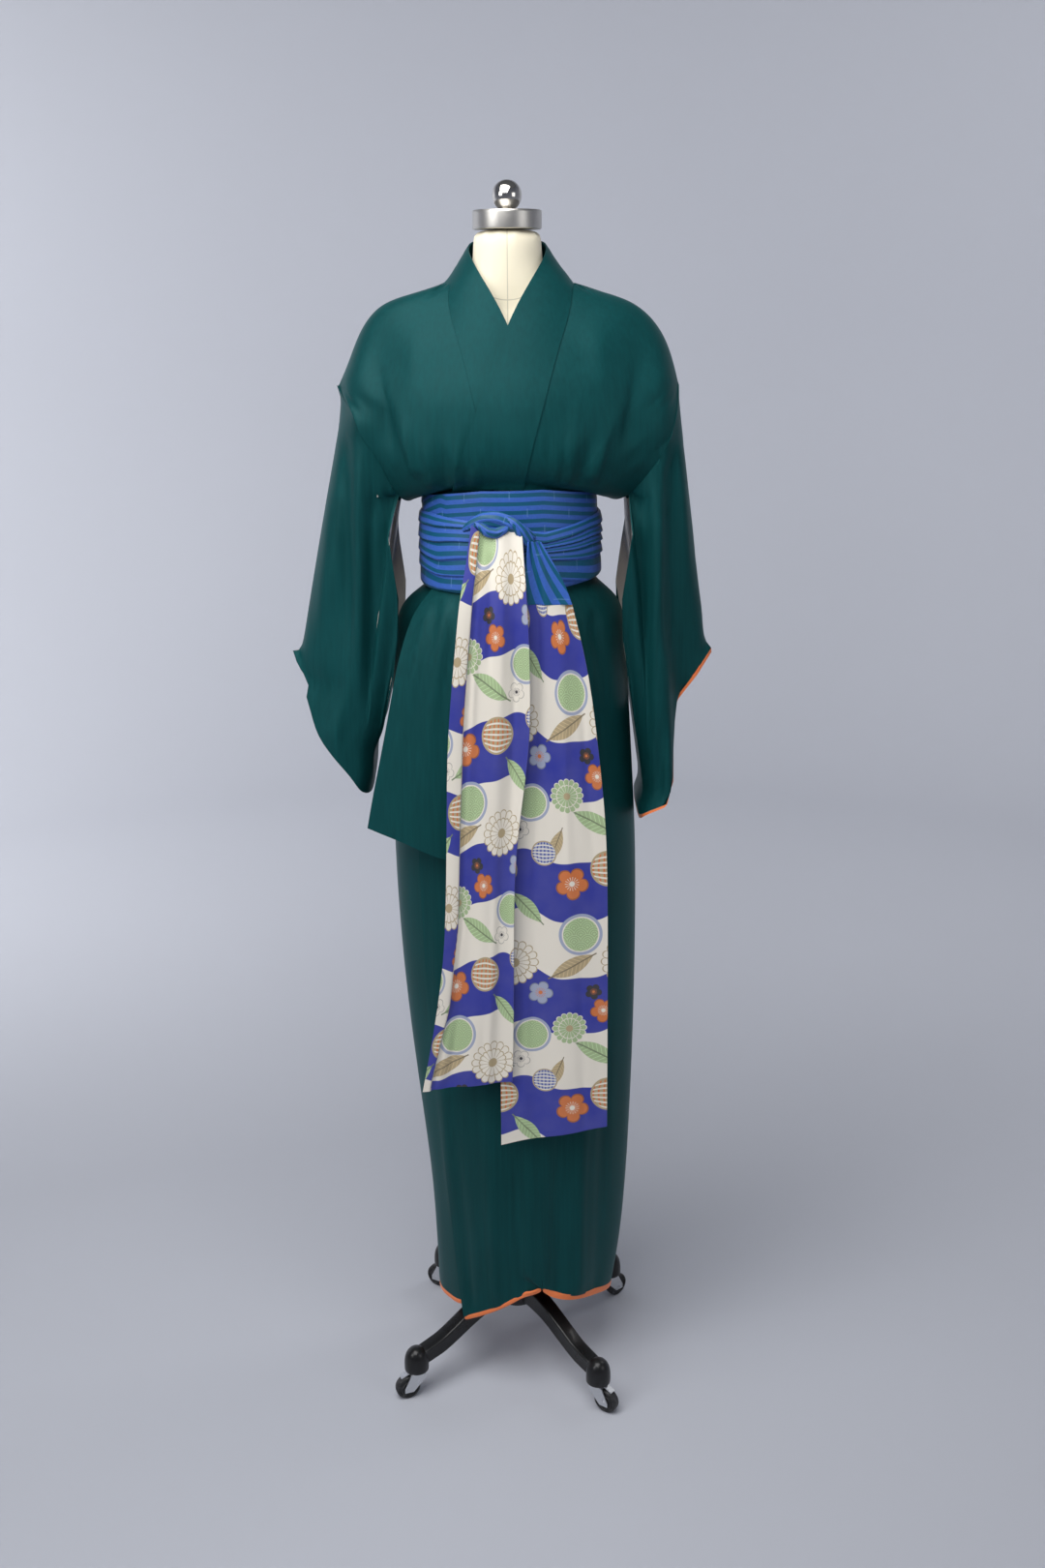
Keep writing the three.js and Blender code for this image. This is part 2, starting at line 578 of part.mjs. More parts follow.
const SILK = finish(0x0c4a42, 0.55);
const LINING = finish(0xe8703a, 0.6);
const BELT_STRIPE = finish(0x15599a, 0.55);
const BELT_PRINT = finish(0xe9dfcc, 0.55);
const CANVAS = finish(0xe6dec4, 0.85);
const CHROME = finish(0xc8c8c6, 0.22, 1);
const BLACK_IRON = finish(0x17181a, 0.4, 0.2);
const ZINC = finish(0xb9bcc0, 0.35, 1);
const RUBBER = finish(0x1b1b1c, 0.7);

function solid(name, geometry, material) {
  const mesh = new THREE.Mesh(geometry, material);
  mesh.name = name;
  return mesh;
}

// ---------------------------------------------------------------- body of the robe
const FRONT_LEFT = {
  from: (h) => angleOfX(seam.overSeam(h), h) + gapAngle(h),
  to: (h) => armAngleRight(h) - gapAngle(h),
  hem: overHem,
  rows: FULL_ROWS,
  across: [0, 0.12, 0.25, 0.38, 0.5, 0.62, 0.74, 0.87, 1],
};
const FRONT_RIGHT = {
  from: (h) => armAngleLeft(h) + gapAngle(h),
  to: (h) => angleOfX(seam.underSeam(h), h) - gapAngle(h),
  hem: underHem,
  rows: FULL_ROWS,
  across: [0, 0.13, 0.26, 0.38, 0.5, 0.62, 0.75, 0.88, 1],
  offset: (angle, h) => (h > 1340 ? UNDER_CHEST * smooth(angle, -70, -38) : wrapUnder(angle)),
};
const OVERLAP_LEFT = {
  from: (h) => angleOfX(seam.overEdge(h), h),
  to: (h) => angleOfX(seam.overSeam(h), h) - gapAngle(h),
  hem: overHem,
  rows: BELTED_ROWS,
  across: spread(6),
};
const OVERLAP_RIGHT = {
  from: (h) => angleOfX(seam.underSeam(h), h) + gapAngle(h),
  to: (h) => angleOfX(seam.underEdge(h), h),
  hem: underHem,
  rows: BELTED_ROWS,
  across: spread(5),
  offset: wrapUnder,
};
const BACK_LEFT = {
  from: (h) => 180 - armAngleRight(h) + gapAngle(h),
  to: (h) => 180 - gapAngle(h),
  hem: (angle) => backHem(180 - angle),
  rows: FULL_ROWS,
  across: spread(7),
};
const BACK_RIGHT = {
  from: (h) => 180 + gapAngle(h),
  to: (h) => 180 - armAngleLeft(h) - gapAngle(h),
  hem: (angle) => backHem(angle - 180),
  rows: FULL_ROWS,
  across: spread(7),
};

function robeBody() {
  const body = new THREE.Group();
  body.add(panel('front_left', FRONT_LEFT));
  body.add(panel('front_right', FRONT_RIGHT));
  body.add(panel('overlap_left', OVERLAP_LEFT));
  body.add(panel('overlap_right', OVERLAP_RIGHT));
  body.add(panel('back_left', BACK_LEFT));
  body.add(panel('back_right', BACK_RIGHT));
  body.add(edging('hem_lining_front_left', FRONT_LEFT));
  body.add(edging('hem_lining_front_right', FRONT_RIGHT));
  body.add(edging('hem_lining_overlap_left', OVERLAP_LEFT));
  body.add(edging('hem_lining_back_left', BACK_LEFT));
  body.add(edging('hem_lining_back_right', BACK_RIGHT));
  return body;
}

// ---------------------------------------------------------------- sleeves
function armholePoint(side, face, height) {
  const angle = side > 0 ? armAngleRight(height) : armAngleLeft(height);
  return robePoint(face > 0 ? angle : 180 - angle, height);
}

// Line of a sleeve row as a bent curve from the armhole to the cuff.
function sleeveLine(row, side, face) {
  const start = row.armHeight === undefined
    ? new THREE.Vector3(side * row.x, -face * row.depth, row.z)
    : armholePoint(side, face, row.armHeight);
  const end = new THREE.Vector3(side * row.cuffX, -face * row.cuffDepth, row.cuffZ);
  const middle = start.clone().add(end).multiplyScalar(0.5);
  middle.x += side * row.belly;
  middle.y -= face * row.belly;
  return new THREE.QuadraticBezierCurve3(start, middle, end);
}

function sleeveSurface(rows, side) {
  const front = rows.map((row) => sleeveLine(row, side, 1));
  const back = rows.slice(1, -1).map((row) => sleeveLine(row, side, -1));
  back.reverse();
  const lines = [...front, ...back];
  return (u, v) => {
    const points = lines.map((line) => line.getPoint(clamp(v, 0, 1)));
    if (v > 1) {
      lines.forEach((line, i) => points[i].addScaledVector(line.getTangent(1), (v - 1) * 340));
    }
    const loop = new THREE.CatmullRomCurve3(points, true, 'centripetal');
    return loop.getPoint(((u % 1) + 1) % 1);
  };
}

// One column on each line from the armhole and two between the lines of the open edge.
function sleeveColumns(rowCount) {
  const lineCount = 2 * rowCount - 2;
  const columns = [];
  for (let i = 0; i < lineCount; i += 1) {
    const fromTop = Math.min(i, lineCount - i);
    const isOnArm = i < rowCount ? fromTop < 5 : fromTop <= 5;
    columns.push(i / lineCount);
    if (!isOnArm) columns.push((i + 0.5) / lineCount);
  }
  return columns;
}

function sleeves() {
  const group = new THREE.Group();
  const around = sleeveColumns(SLEEVE_RIGHT.length);
  const along = [ARM_GAP / 340, 0.08, 0.2, 0.34, 0.48, 0.62, 0.76, 0.9, 1];
  const left = sleeveSurface(SLEEVE_RIGHT, 1);
  const right = sleeveSurface(SLEEVE_LEFT, -1);
  group.add(solid('sleeve_left', clothWall(left, around, along, CLOTH, true), SILK));
  group.add(solid('sleeve_right', clothWall(right, around, along, CLOTH, true), SILK));
  const edge = clothWall(left, around, [1.0015, 1.009, 1.017], CLOTH, true);
  group.add(solid('cuff_lining_left', edge, LINING));
  return group;
}

// ---------------------------------------------------------------- collar
const COLLAR_GAP = 1.1;
const collarEdge = followAll(COLLAR_EDGE, 'station', ['x', 'y', 'z']);

// Height of the ring that a station of the collar lies on.
function collarRing(station) {
  const place = clamp(station - NECK_ANGLES.length, 0, NECK_RINGS.length - 1);
  const row = Math.min(Math.floor(place), NECK_RINGS.length - 2);
  return NECK_RINGS[row] + (NECK_RINGS[row + 1] - NECK_RINGS[row]) * (place - row);
}

// Seam points of the collar on the neckline of one side.
function collarSeam(side, offset) {
  const top = SHOULDER_ROWS[SHOULDER_ROWS.length - 1];
  const back = NECK_ANGLES.map((angle) => robePoint(side * angle, top + COLLAR_GAP));
  const front = NECK_RINGS.map((height) => {
    const x = side > 0 ? seam.overSeam(height) - COLLAR_GAP : seam.underSeam(height) + COLLAR_GAP;
    return robePoint(angleOfX(x, height), height, offset);
  });
  front[0].z += COLLAR_GAP;
  return [...back, ...front];
}

function collarWall(side, offset) {
  const points = collarSeam(side, offset);
  const last = points.length - 1;
  const line = new THREE.CatmullRomCurve3(points, false, 'centripetal');
  const surface = (u, v) => {
    const station = v * last;
    const high = new THREE.Vector3(
      side * collarEdge.x(station), collarEdge.y(station), collarEdge.z(station));
    const point = line.getPoint(v).lerp(high, u);
    const seamRing = collarRing(station);
    const height = seamRing + (high.z - seamRing) * u;
    const onChest = robePoint(angleOfX(point.x, height), height, offset);
    const settled = smooth(station, 7, 11);
    point.y -= 3 * Math.sin(Math.PI * u) * smooth(station, 2, 5);
    point.y -= offset * u * smooth(station, 3.5, 8);
    return point.lerp(onChest, settled * Math.min(1, 4 * u));
  };
  return clothWall(surface, spread(4), spread(last), 2.4);
}

function collars() {
  const group = new THREE.Group();
  group.add(solid('collar_left', collarWall(1, 2), SILK));
  group.add(solid('collar_right', collarWall(-1, UNDER_CHEST - 1), SILK));
  return group;
}

// ---------------------------------------------------------------- overfold
function overfold() {
  const fold = followAll(OVERFOLD, 'height', ['left', 'right', 'reach', 'depth']);
  const hem = follow(OVERFOLD_HEM, 'x', 'height');
  const top = 1330;
  const surface = (u, v) => {
    const level = 880 + (top - 880) * v;
    const x = fold.left(level) + (fold.right(level) - fold.left(level)) * u;
    const low = hem(x);
    const height = low + (top - low) * v;
    const round = Math.max(0.02, 1 - (x / fold.reach(height)) ** 2);
    const swell = 0.36 + 0.14 * smooth(height, 1120, 1236);
    const wave = 2.5 * (1 - v) * Math.sin(radians(x * 3.2 + 40));
    return new THREE.Vector3(x, -(fold.depth(height) + wave) * round ** swell, height);
  };
  const along = [0, 0.14, 0.28, 0.42, 0.56, 0.68, 0.74, 0.775, 0.81, 0.85, 1];
  return solid('front_overfold', clothWall(surface, spread(10), along, CLOTH), SILK);
}

// ---------------------------------------------------------------- sash
const beltEdge = followAll(BELT_EDGES, 'angle', ['top', 'wrapTop', 'bottom']);

function beltPoint(angle, height, offset) {
  const turn = radians(angle);
  const facing = Math.cos(turn);
  const depth = (facing > 0 ? ring.front(1300) : ring.back(1300)) + offset;
  return new THREE.Vector3((108 + offset) * Math.sin(turn), -depth * facing, height);
}

function beltAngle(u) {
  const turn = ((u % 1) + 1) % 1;
  return -180 + 360 * turn;
}

function sash() {
  const group = new THREE.Group();
  const around = spread(28).slice(0, -1);
  const upper = (u, v) => {
    const angle = beltAngle(u);
    const low = beltEdge.wrapTop(angle) - 45;
    return beltPoint(angle, low + (beltEdge.top(angle) - low) * v, BELT_UPPER_OFFSET);
  };
  const lower = (u, v) => {
    const angle = beltAngle(u);
    const low = beltEdge.bottom(angle);
    const rise = PLEAT_RISE * Math.cos(2 * Math.PI * (BELT_PLEATS * v + 0.12 * Math.sin(radians(angle * 2))));
    const round = 2.2 * Math.sin(Math.PI * clamp(v, 0, 1));
    const height = low + (beltEdge.wrapTop(angle) - low) * v;
    return beltPoint(angle, height, BELT_LOWER_OFFSET + rise + round);
  };
  group.add(solid('sash_upper_wrap', clothWall(upper, around, spread(3), BELT_CLOTH, true), BELT_STRIPE));
  group.add(solid('sash_lower_wrap', clothWall(lower, around, spread(9), BELT_CLOTH, true), BELT_STRIPE));
  group.add(tail('sash_end_left', TAIL_LEFT, 540, 1322, BELT_PRINT, 2, -0.15, 14));
  group.add(tail('sash_end_right', TAIL_RIGHT, 455, PRINT_SEAM - 0.5, BELT_PRINT, 1.5, 0.1, 26));
  group.add(tail('sash_end_right_top', TAIL_RIGHT, PRINT_SEAM, 1314, BELT_STRIPE, 2, 0.1));
  group.add(knot());
  return group;
}

// A hanging end of the sash with soft lengthwise folds.
function tail(name, rows, bottom, top, material, folds, lean, hemSlope = 0) {
  const edge = followAll(rows, 'height', ['left', 'right', 'depth']);
  const surface = (u, v) => {
    const height = bottom + (top - bottom) * v;
    const x = edge.left(height) + (edge.right(height) - edge.left(height)) * u;
    const wave = 2.6 * Math.cos(2 * Math.PI * (folds * u + lean));
    const slope = hemSlope * (u - 0.5) * Math.max(0, 1 - (height - bottom) / 60);
    return new THREE.Vector3(x, -edge.depth(height) - wave, height + slope);
  };
  const rowCount = Math.max(4, Math.round((top - bottom) / 72));
  return solid(name, clothWall(surface, spread(9), spread(rowCount), BELT_CLOTH), material);
}

// Twisted knot of the sash, a fat roll lying across the front.
function knot() {
  const rings = spread(12).map((v) => {
    const swell = Math.sqrt(Math.max(0.06, 1 - (2 * v - 1) ** 2));
    const centre = new THREE.Vector3(-58 + 86 * v, -131.4, 1336.2 + 3 * Math.sin(2.4 * v) - 4 * v);
    return spread(12).slice(0, -1).map((u) => {
      const turn = 2 * Math.PI * u;
      const groove = 1 - 0.1 * Math.cos(3 * turn + 5 * v);
      const out = swell * groove;
      return new THREE.Vector3(centre.x, centre.y + 12 * out * Math.cos(turn),
        centre.z + 13 * out * Math.sin(turn));
    });
  });
  return solid('sash_knot', ringSolid(rings), BELT_STRIPE);
}

// ---------------------------------------------------------------- dress form
function dressForm() {
  const group = new THREE.Group();
  const section = followAll(FORM, 'height', ['side', 'front', 'back']);
  const rings = FORM_RINGS.map((height) => spread(24).slice(0, -1).map((u) => {
    const turn = 2 * Math.PI * u;
    const depth = Math.cos(turn) > 0 ? section.front(height) : section.back(height);
    return new THREE.Vector3(section.side(height) * Math.sin(turn), -depth * Math.cos(turn), height);
  }));
  group.add(solid('form_torso', ringSolid(rings), CANVAS));
  const capBottom = NECK_TOP + SEAM_GAP;
  const capTop = capBottom + CAP_HEIGHT;
  const cap = turned([[0, capBottom], [NECK_RADIUS, capBottom], [NECK_RADIUS, capTop - 1],
    [NECK_RADIUS - 1, capTop], [0, capTop]], 32);
  group.add(solid('neck_cap', cap, CHROME));
  const stemBottom = capTop + SEAM_GAP;
  const ballLow = BALL_CENTRE - BALL_RADIUS * Math.cos(radians(24));
  const profile = [[0, stemBottom], [11, stemBottom], [9, stemBottom + 1], [8, ballLow]];
  for (const degrees of spread(8, 24, 180)) {
    const turn = radians(degrees);
    const radius = BALL_RADIUS * Math.sin(turn);
    profile.push([degrees === 180 ? 0 : radius, BALL_CENTRE - BALL_RADIUS * Math.cos(turn)]);
  }
  group.add(solid('finial', turned(profile, 20), CHROME));
  const pole = turned([[0, HUB_TOP + SEAM_GAP], [POLE_RADIUS, HUB_TOP + SEAM_GAP],
    [POLE_RADIUS, TORSO_BOTTOM - SEAM_GAP], [0, TORSO_BOTTOM - SEAM_GAP]], 20);
  group.add(solid('pole', pole, CHROME));
  return group;
}

// ---------------------------------------------------------------- rolling base
function baseCasting() {
  const line = followAll(LEG, 'reach', ['height', 'depth']);
  const reaches = spread(7, 0, LEG_REACH - 7);
  const upper = reaches.map((r) => new THREE.Vector2(r, line.height(r) + line.depth(r) / 2));
  const lower = reaches.map((r) => new THREE.Vector2(r, line.height(r) - line.depth(r) / 2));
  const outline = new THREE.Shape([...upper, ...lower.reverse()]);
  const legs = casterAngles().map((angle) => {
    const leg = new THREE.ExtrudeGeometry(outline, { depth: LEG_WIDTH, bevelEnabled: false });
    return leg.translate(0, 0, -LEG_WIDTH / 2).rotateX(Math.PI / 2).rotateZ(angle);
  });
  const caps = casterAngles().map((angle) => {
    const cap = turned([[0, 46], [18, 46], [19, 62], [15, 76], [8, 83], [0, 85]], 12);
    return cap.rotateZ(angle).translate(LEG_REACH * Math.cos(angle), LEG_REACH * Math.sin(angle), 0);
  });
  const hub = turned([[0, 88], [28, 88], [30, 96], [30, HUB_TOP - 4], [26, HUB_TOP], [0, HUB_TOP]], 24);
  return solid('base_casting', joined([hub, ...legs, ...caps]), BLACK_IRON);
}

function casterAngles() {
  return [-135, -45, 45, 135].map((degrees) => radians(degrees + BASE_TURN));
}

// Fork with two cheeks, its plate, axle and swivel washer, trailing along +X.
function forkGeometry(braked) {
  const cheekShape = new THREE.Shape([
    new THREE.Vector2(-11, 40), new THREE.Vector2(-11, 34), new THREE.Vector2(8, 13),
    new THREE.Vector2(22, 13), new THREE.Vector2(22, 20), new THREE.Vector2(12, 40),
  ]);
  const cheekAt = WHEEL_WIDTH / 2 + 1.2;
  const cheeks = [cheekAt, -cheekAt - 2].map((y) => {
    const cheek = new THREE.ExtrudeGeometry(cheekShape, { depth: 2, bevelEnabled: false });
    return cheek.rotateX(Math.PI / 2).translate(0, y + 2, 0);
  });
  const plate = new THREE.BoxGeometry(23, 2 * cheekAt + 4, 2.4).translate(0.5, 0, 40.2);
  const washer = turned([[0, 41], [12, 41], [12, 45.6], [0, 45.6]], 12);
  const axle = new THREE.CylinderGeometry(AXLE_RADIUS, AXLE_RADIUS, 2 * cheekAt + 5, 8)
    .translate(WHEEL_OFFSET, 0, WHEEL_RADIUS);
  const pieces = [...cheeks, plate, washer, axle];
  if (braked) pieces.push(new THREE.BoxGeometry(18, 9, 2.2).rotateY(radians(24)).translate(18, 0, 41));
  return joined(pieces);
}

function wheelGeometry() {
  const half = WHEEL_WIDTH / 2;
  const bore = AXLE_RADIUS + BORE_CLEARANCE;
  const flatRadius = WHEEL_RADIUS / Math.cos(Math.PI / WHEEL_SIDES);
  const profile = [[bore, -half], [flatRadius - 2, -half], [flatRadius, -half + 2.5],
    [flatRadius, half - 2.5], [flatRadius - 2, half], [bore, half], [bore, -half]];
  const points = profile.map(([radius, y]) => new THREE.Vector2(radius, y));
  return new THREE.LatheGeometry(points, WHEEL_SIDES).rotateY(Math.PI / WHEEL_SIDES);
}

function casters() {
  const group = new THREE.Group();
  const trail = [200, -35, 40, 150];
  casterAngles().forEach((angle, i) => {
    const caster = new THREE.Group();
    caster.position.set(LEG_REACH * Math.cos(angle), LEG_REACH * Math.sin(angle), 0);
    caster.rotation.z = radians(trail[i]);
    caster.add(solid(`caster_fork_${i + 1}`, forkGeometry(i < 2), ZINC));
    const wheel = solid(`caster_wheel_${i + 1}`, wheelGeometry(), RUBBER);
    wheel.position.set(WHEEL_OFFSET, 0, WHEEL_RADIUS);
    caster.add(wheel);
    group.add(caster);
  });
  return group;
}

// ---------------------------------------------------------------- whole object
const group = new THREE.Group();
group.name = 'kimono_robe_on_dress_form';
group.add(dressForm(), baseCasting(), casters());
group.add(robeBody(), sleeves(), collars(), overfold(), sash());
group.updateMatrixWorld(true);
const bounds = new THREE.Box3().setFromObject(group, true);
const middle = bounds.getCenter(new THREE.Vector3());
group.position.set(-middle.x, -middle.y, -bounds.min.z);
group.updateMatrixWorld(true);

export default group;
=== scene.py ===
"""Silk kimono robe with a striped and printed sash on a wheeled dress form."""

import json
import math

import bmesh
import bpy
import numpy as np
from bpy.props import FloatProperty, FloatVectorProperty, PointerProperty
from mathutils import Matrix, Vector, kdtree, noise
from mathutils.bvhtree import BVHTree


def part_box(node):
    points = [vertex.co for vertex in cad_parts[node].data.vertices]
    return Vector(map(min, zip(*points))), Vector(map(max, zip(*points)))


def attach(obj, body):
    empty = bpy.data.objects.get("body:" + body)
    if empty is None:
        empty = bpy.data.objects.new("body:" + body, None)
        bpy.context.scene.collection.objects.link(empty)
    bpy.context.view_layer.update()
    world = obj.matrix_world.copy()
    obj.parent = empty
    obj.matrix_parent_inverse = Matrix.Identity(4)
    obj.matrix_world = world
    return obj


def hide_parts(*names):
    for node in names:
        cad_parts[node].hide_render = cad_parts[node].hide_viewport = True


bl_info = {
    "name": "Kimono Robe on a Dress Form",
    "version": (1, 0, 0),
    "blender": (4, 5, 0),
    "location": "View3D > Sidebar > Kimono",
    "description": "Dresses the robe, its sash, the form and its rolling stand",
    "category": "Object",
}

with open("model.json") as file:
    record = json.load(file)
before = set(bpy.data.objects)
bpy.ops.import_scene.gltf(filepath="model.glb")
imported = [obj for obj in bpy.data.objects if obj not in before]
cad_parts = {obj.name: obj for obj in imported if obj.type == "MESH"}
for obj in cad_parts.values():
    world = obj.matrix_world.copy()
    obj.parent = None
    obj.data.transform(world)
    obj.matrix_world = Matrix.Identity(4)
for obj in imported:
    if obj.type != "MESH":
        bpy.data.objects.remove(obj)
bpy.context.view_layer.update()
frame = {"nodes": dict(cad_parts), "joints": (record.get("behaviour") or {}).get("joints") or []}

MM = 0.001
STAND = "stand"
POLE_LOW, POLE_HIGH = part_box("pole")
AXIS = ((POLE_LOW[0] + POLE_HIGH[0]) / 2, (POLE_LOW[1] + POLE_HIGH[1]) / 2)

# ------------------------------------------------------------------ tables
# Soft folds, in millimetres from the pole: from (x, z) to (x, z), how wide, how far
# out, and the share of the length over which each end dies away.
FRONT_FOLDS = (
    (-100, 1378, -112, 1452, 6, 2.4, 0.05, 0.8),
    (-84, 1378, -92, 1490, 7, -2.0, 0.05, 0.8),
    (-66, 1378, -64, 1470, 6, 2.2, 0.05, 0.8),
    (-46, 1378, -38, 1440, 6, 1.6, 0.05, 0.9),
    (58, 1378, 66, 1462, 6, 2.0, 0.05, 0.8),
    (74, 1378, 92, 1500, 7, 2.6, 0.05, 0.8),
    (92, 1382, 118, 1478, 7, -2.2, 0.05, 0.8),
    (106, 1386, 142, 1490, 8, 3.0, 0.05, 0.8),
    (-118, 1390, -150, 1500, 9, 3.0, 0.1, 0.8),
    (-150, 1410, -178, 1560, 11, -2.6, 0.3, 0.6),
    (150, 1412, 176, 1565, 11, -2.6, 0.3, 0.6),
    (-108, 1600, -128, 1470, 18, 1.8, 0.4, 0.6),
    (104, 1600, 128, 1480, 18, 2.0, 0.4, 0.6),
    (-96, 240, -112, 860, 13, 2.0, 0.3, 0.5),
    (-70, 135, -92, 470, 10, -1.6, 0.05, 0.7),
    (-30, 150, -44, 640, 13, 2.0, 0.05, 0.7),
    (4, 160, -4, 520, 9, -1.6, 0.05, 0.8),
    (22, 172, 20, 620, 9, 1.8, 0.02, 0.7),
    (62, 170, 70, 700, 13, -2.4, 0.02, 0.7),
    (92, 160, 104, 820, 14, 2.6, 0.02, 0.6),
    (124, 150, 140, 760, 12, -1.8, 0.02, 0.7),
    (96, 1222, 118, 900, 10, 1.8, 0.1, 0.8),
    (112, 1215, 142, 1010, 10, -1.8, 0.1, 0.8),
    (78, 1225, 92, 980, 9, -1.5, 0.1, 0.8),
)
BACK_FOLDS = (
    (-96, 1378, -120, 1500, 9, 2.6, 0.05, 0.8),
    (-62, 1378, -70, 1470, 8, -2.0, 0.05, 0.8),
    (-30, 1378, -34, 1520, 9, 2.2, 0.05, 0.8),
    (34, 1378, 40, 1500, 9, 2.2, 0.05, 0.8),
    (68, 1378, 80, 1480, 8, -2.0, 0.05, 0.8),
    (100, 1380, 124, 1510, 9, 2.6, 0.05, 0.8),
    (-150, 1420, -168, 1570, 12, -2.4, 0.3, 0.6),
    (152, 1420, 170, 1570, 12, -2.4, 0.3, 0.6),
    (-90, 130, -112, 900, 15, 3.0, 0.02, 0.6),
    (-48, 140, -60, 760, 13, -2.4, 0.02, 0.7),
    (-16, 145, -22, 600, 11, 1.6, 0.02, 0.7),
    (44, 140, 52, 820, 14, 2.6, 0.02, 0.6),
    (84, 132, 96, 720, 13, -2.2, 0.02, 0.7),
    (118, 130, 138, 900, 13, 2.0, 0.02, 0.6),
    (-80, 1225, -104, 960, 10, 2.0, 0.1, 0.8),
    (-40, 1225, -50, 1000, 9, -1.6, 0.1, 0.8),
    (52, 1225, 66, 980, 10, 2.0, 0.1, 0.8),
    (100, 1220, 124, 1000, 10, -1.6, 0.1, 0.8),
)
# Sleeve folds are given for x to the side, so one table serves each sleeve's faces.
SLEEVE_LEFT_FRONT = (
    (212, 1424, 214, 1130, 8, -7.0, 0.15, 0.25),
    (196, 1400, 198, 960, 13, 4.5, 0.2, 0.25),
    (178, 1330, 184, 1010, 8, -2.6, 0.3, 0.4),
    (228, 1452, 246, 1200, 9, 2.6, 0.2, 0.5),
    (240, 1400, 262, 1170, 9, -2.0, 0.3, 0.5),
    (206, 1080, 204, 930, 8, -2.2, 0.4, 0.2),
)
SLEEVE_LEFT_BACK = (
    (206, 1440, 216, 1080, 12, 5.0, 0.15, 0.3),
    (184, 1380, 192, 980, 10, -3.4, 0.2, 0.3),
    (232, 1430, 252, 1180, 11, -3.0, 0.2, 0.4),
)
SLEEVE_RIGHT_FRONT = (
    (216, 1452, 220, 1120, 8, -5.5, 0.12, 0.35),
    (198, 1440, 208, 1060, 12, 4.0, 0.2, 0.35),
    (180, 1400, 194, 1060, 8, -3.6, 0.2, 0.4),
    (236, 1420, 262, 1160, 13, 3.0, 0.3, 0.4),
    (252, 1330, 280, 1150, 9, -1.8, 0.4, 0.3),
    (222, 1110, 214, 1010, 10, -2.2, 0.4, 0.3),
    (240, 1180, 268, 1080, 9, 2.2, 0.5, 0.3),
    (196, 1040, 206, 960, 8, 1.8, 0.4, 0.2),
)
SLEEVE_RIGHT_BACK = (
    (210, 1450, 230, 1100, 13, 5.0, 0.15, 0.3),
    (186, 1380, 198, 1000, 10, -3.4, 0.2, 0.3),
    (244, 1400, 270, 1170, 11, -3.0, 0.2, 0.4),
)
OVERFOLD_FOLDS = (
    (-58, 1236, -74, 900, 8, 1.6, 0.05, 0.6),
    (-74, 1236, -104, 960, 7, -1.6, 0.05, 0.7),
    (-84, 1232, -126, 930, 8, 2.0, 0.05, 0.6),
    (-98, 1228, -152, 1000, 8, -1.8, 0.05, 0.7),
    (-108, 1222, -172, 950, 9, 1.8, 0.05, 0.6),
    (-40, 1236, -46, 1010, 8, -1.4, 0.05, 0.7),
)
TAIL_LEFT_FOLDS = (
    (-22, 1306, -30, 1120, 6, -2.6, 0.1, 0.4),
    (-6, 1300, -34, 560, 9, 2.0, 0.1, 0.0),
    (-40, 1290, -60, 900, 7, 1.6, 0.1, 0.6),
    (8, 1240, -8, 700, 7, -1.6, 0.2, 0.4),
    (-70, 760, -92, 545, 9, -2.0, 0.4, 0.0),
    (-30, 800, -38, 545, 9, 1.6, 0.4, 0.0),
)
TAIL_RIGHT_FOLDS = (
    (38, 1226, 26, 700, 8, -1.6, 0.05, 0.4),
    (66, 1226, 84, 640, 9, 1.4, 0.05, 0.4),
    (88, 1180, 116, 800, 8, -1.4, 0.1, 0.5),
    (22, 800, 14, 470, 9, 1.4, 0.4, 0.0),
    (92, 760, 100, 470, 9, -1.2, 0.4, 0.0),
)

# Sash ends by height: left edge, right edge and the line of the turned-in strip.
TAIL_LEFT_EDGES = (
    (540, -131, -3, -120), (665, -106, 0, -90), (782, -93, 1, -76), (895, -89, 5, -71),
    (1059, -84, 25, -64), (1138, -76, 26, -58), (1241, -65, 22, -48), (1322, -48, 16, -38),
)
TAIL_RIGHT_EDGES = (
    (455, -20, 133, -20), (700, -19, 132, -19), (864, -18, 130, -18), (933, -17, 127, -17),
    (1056, -8, 114, -8), (1136, 2, 104, 2), (1213, 14, 86, 14), (1314, 24, 40, 24),
)

# Edges of the sash wraps by angle round the body: 0 front, +90 left side, 180 back.
BELT_ANGLES = (-180, -90, -60, -18, 22, 60, 90, 180)
BELT_TOP = (1364, 1360, 1365, 1375, 1376, 1367, 1360, 1364)
BELT_WRAP_TOP = (1344, 1341, 1342, 1335, 1321, 1334, 1339, 1344)
BELT_BOTTOM = (1244, 1243, 1241, 1240, 1244, 1250, 1254, 1244)
# The waist under the sash: half width, and half depth before and behind the pole.
WAIST_WIDTH, WAIST_FRONT, WAIST_BACK = 108.0, 98.0, 92.0
# The wraps' offsets from that waist, their thickness, and how far the upper one goes
# down behind the lower one.
UPPER_WRAP_BASE, UPPER_WRAP_THICK, UPPER_WRAP_TUCK = 9.1, 2.4, 45
LOWER_WRAP_BASE, LOWER_WRAP_THICK, LOWER_WRAP_INNER = 14.4, 2.0, 13.4
PLEAT_SILK = 0.0205      # width of silk in one pleat, in metres
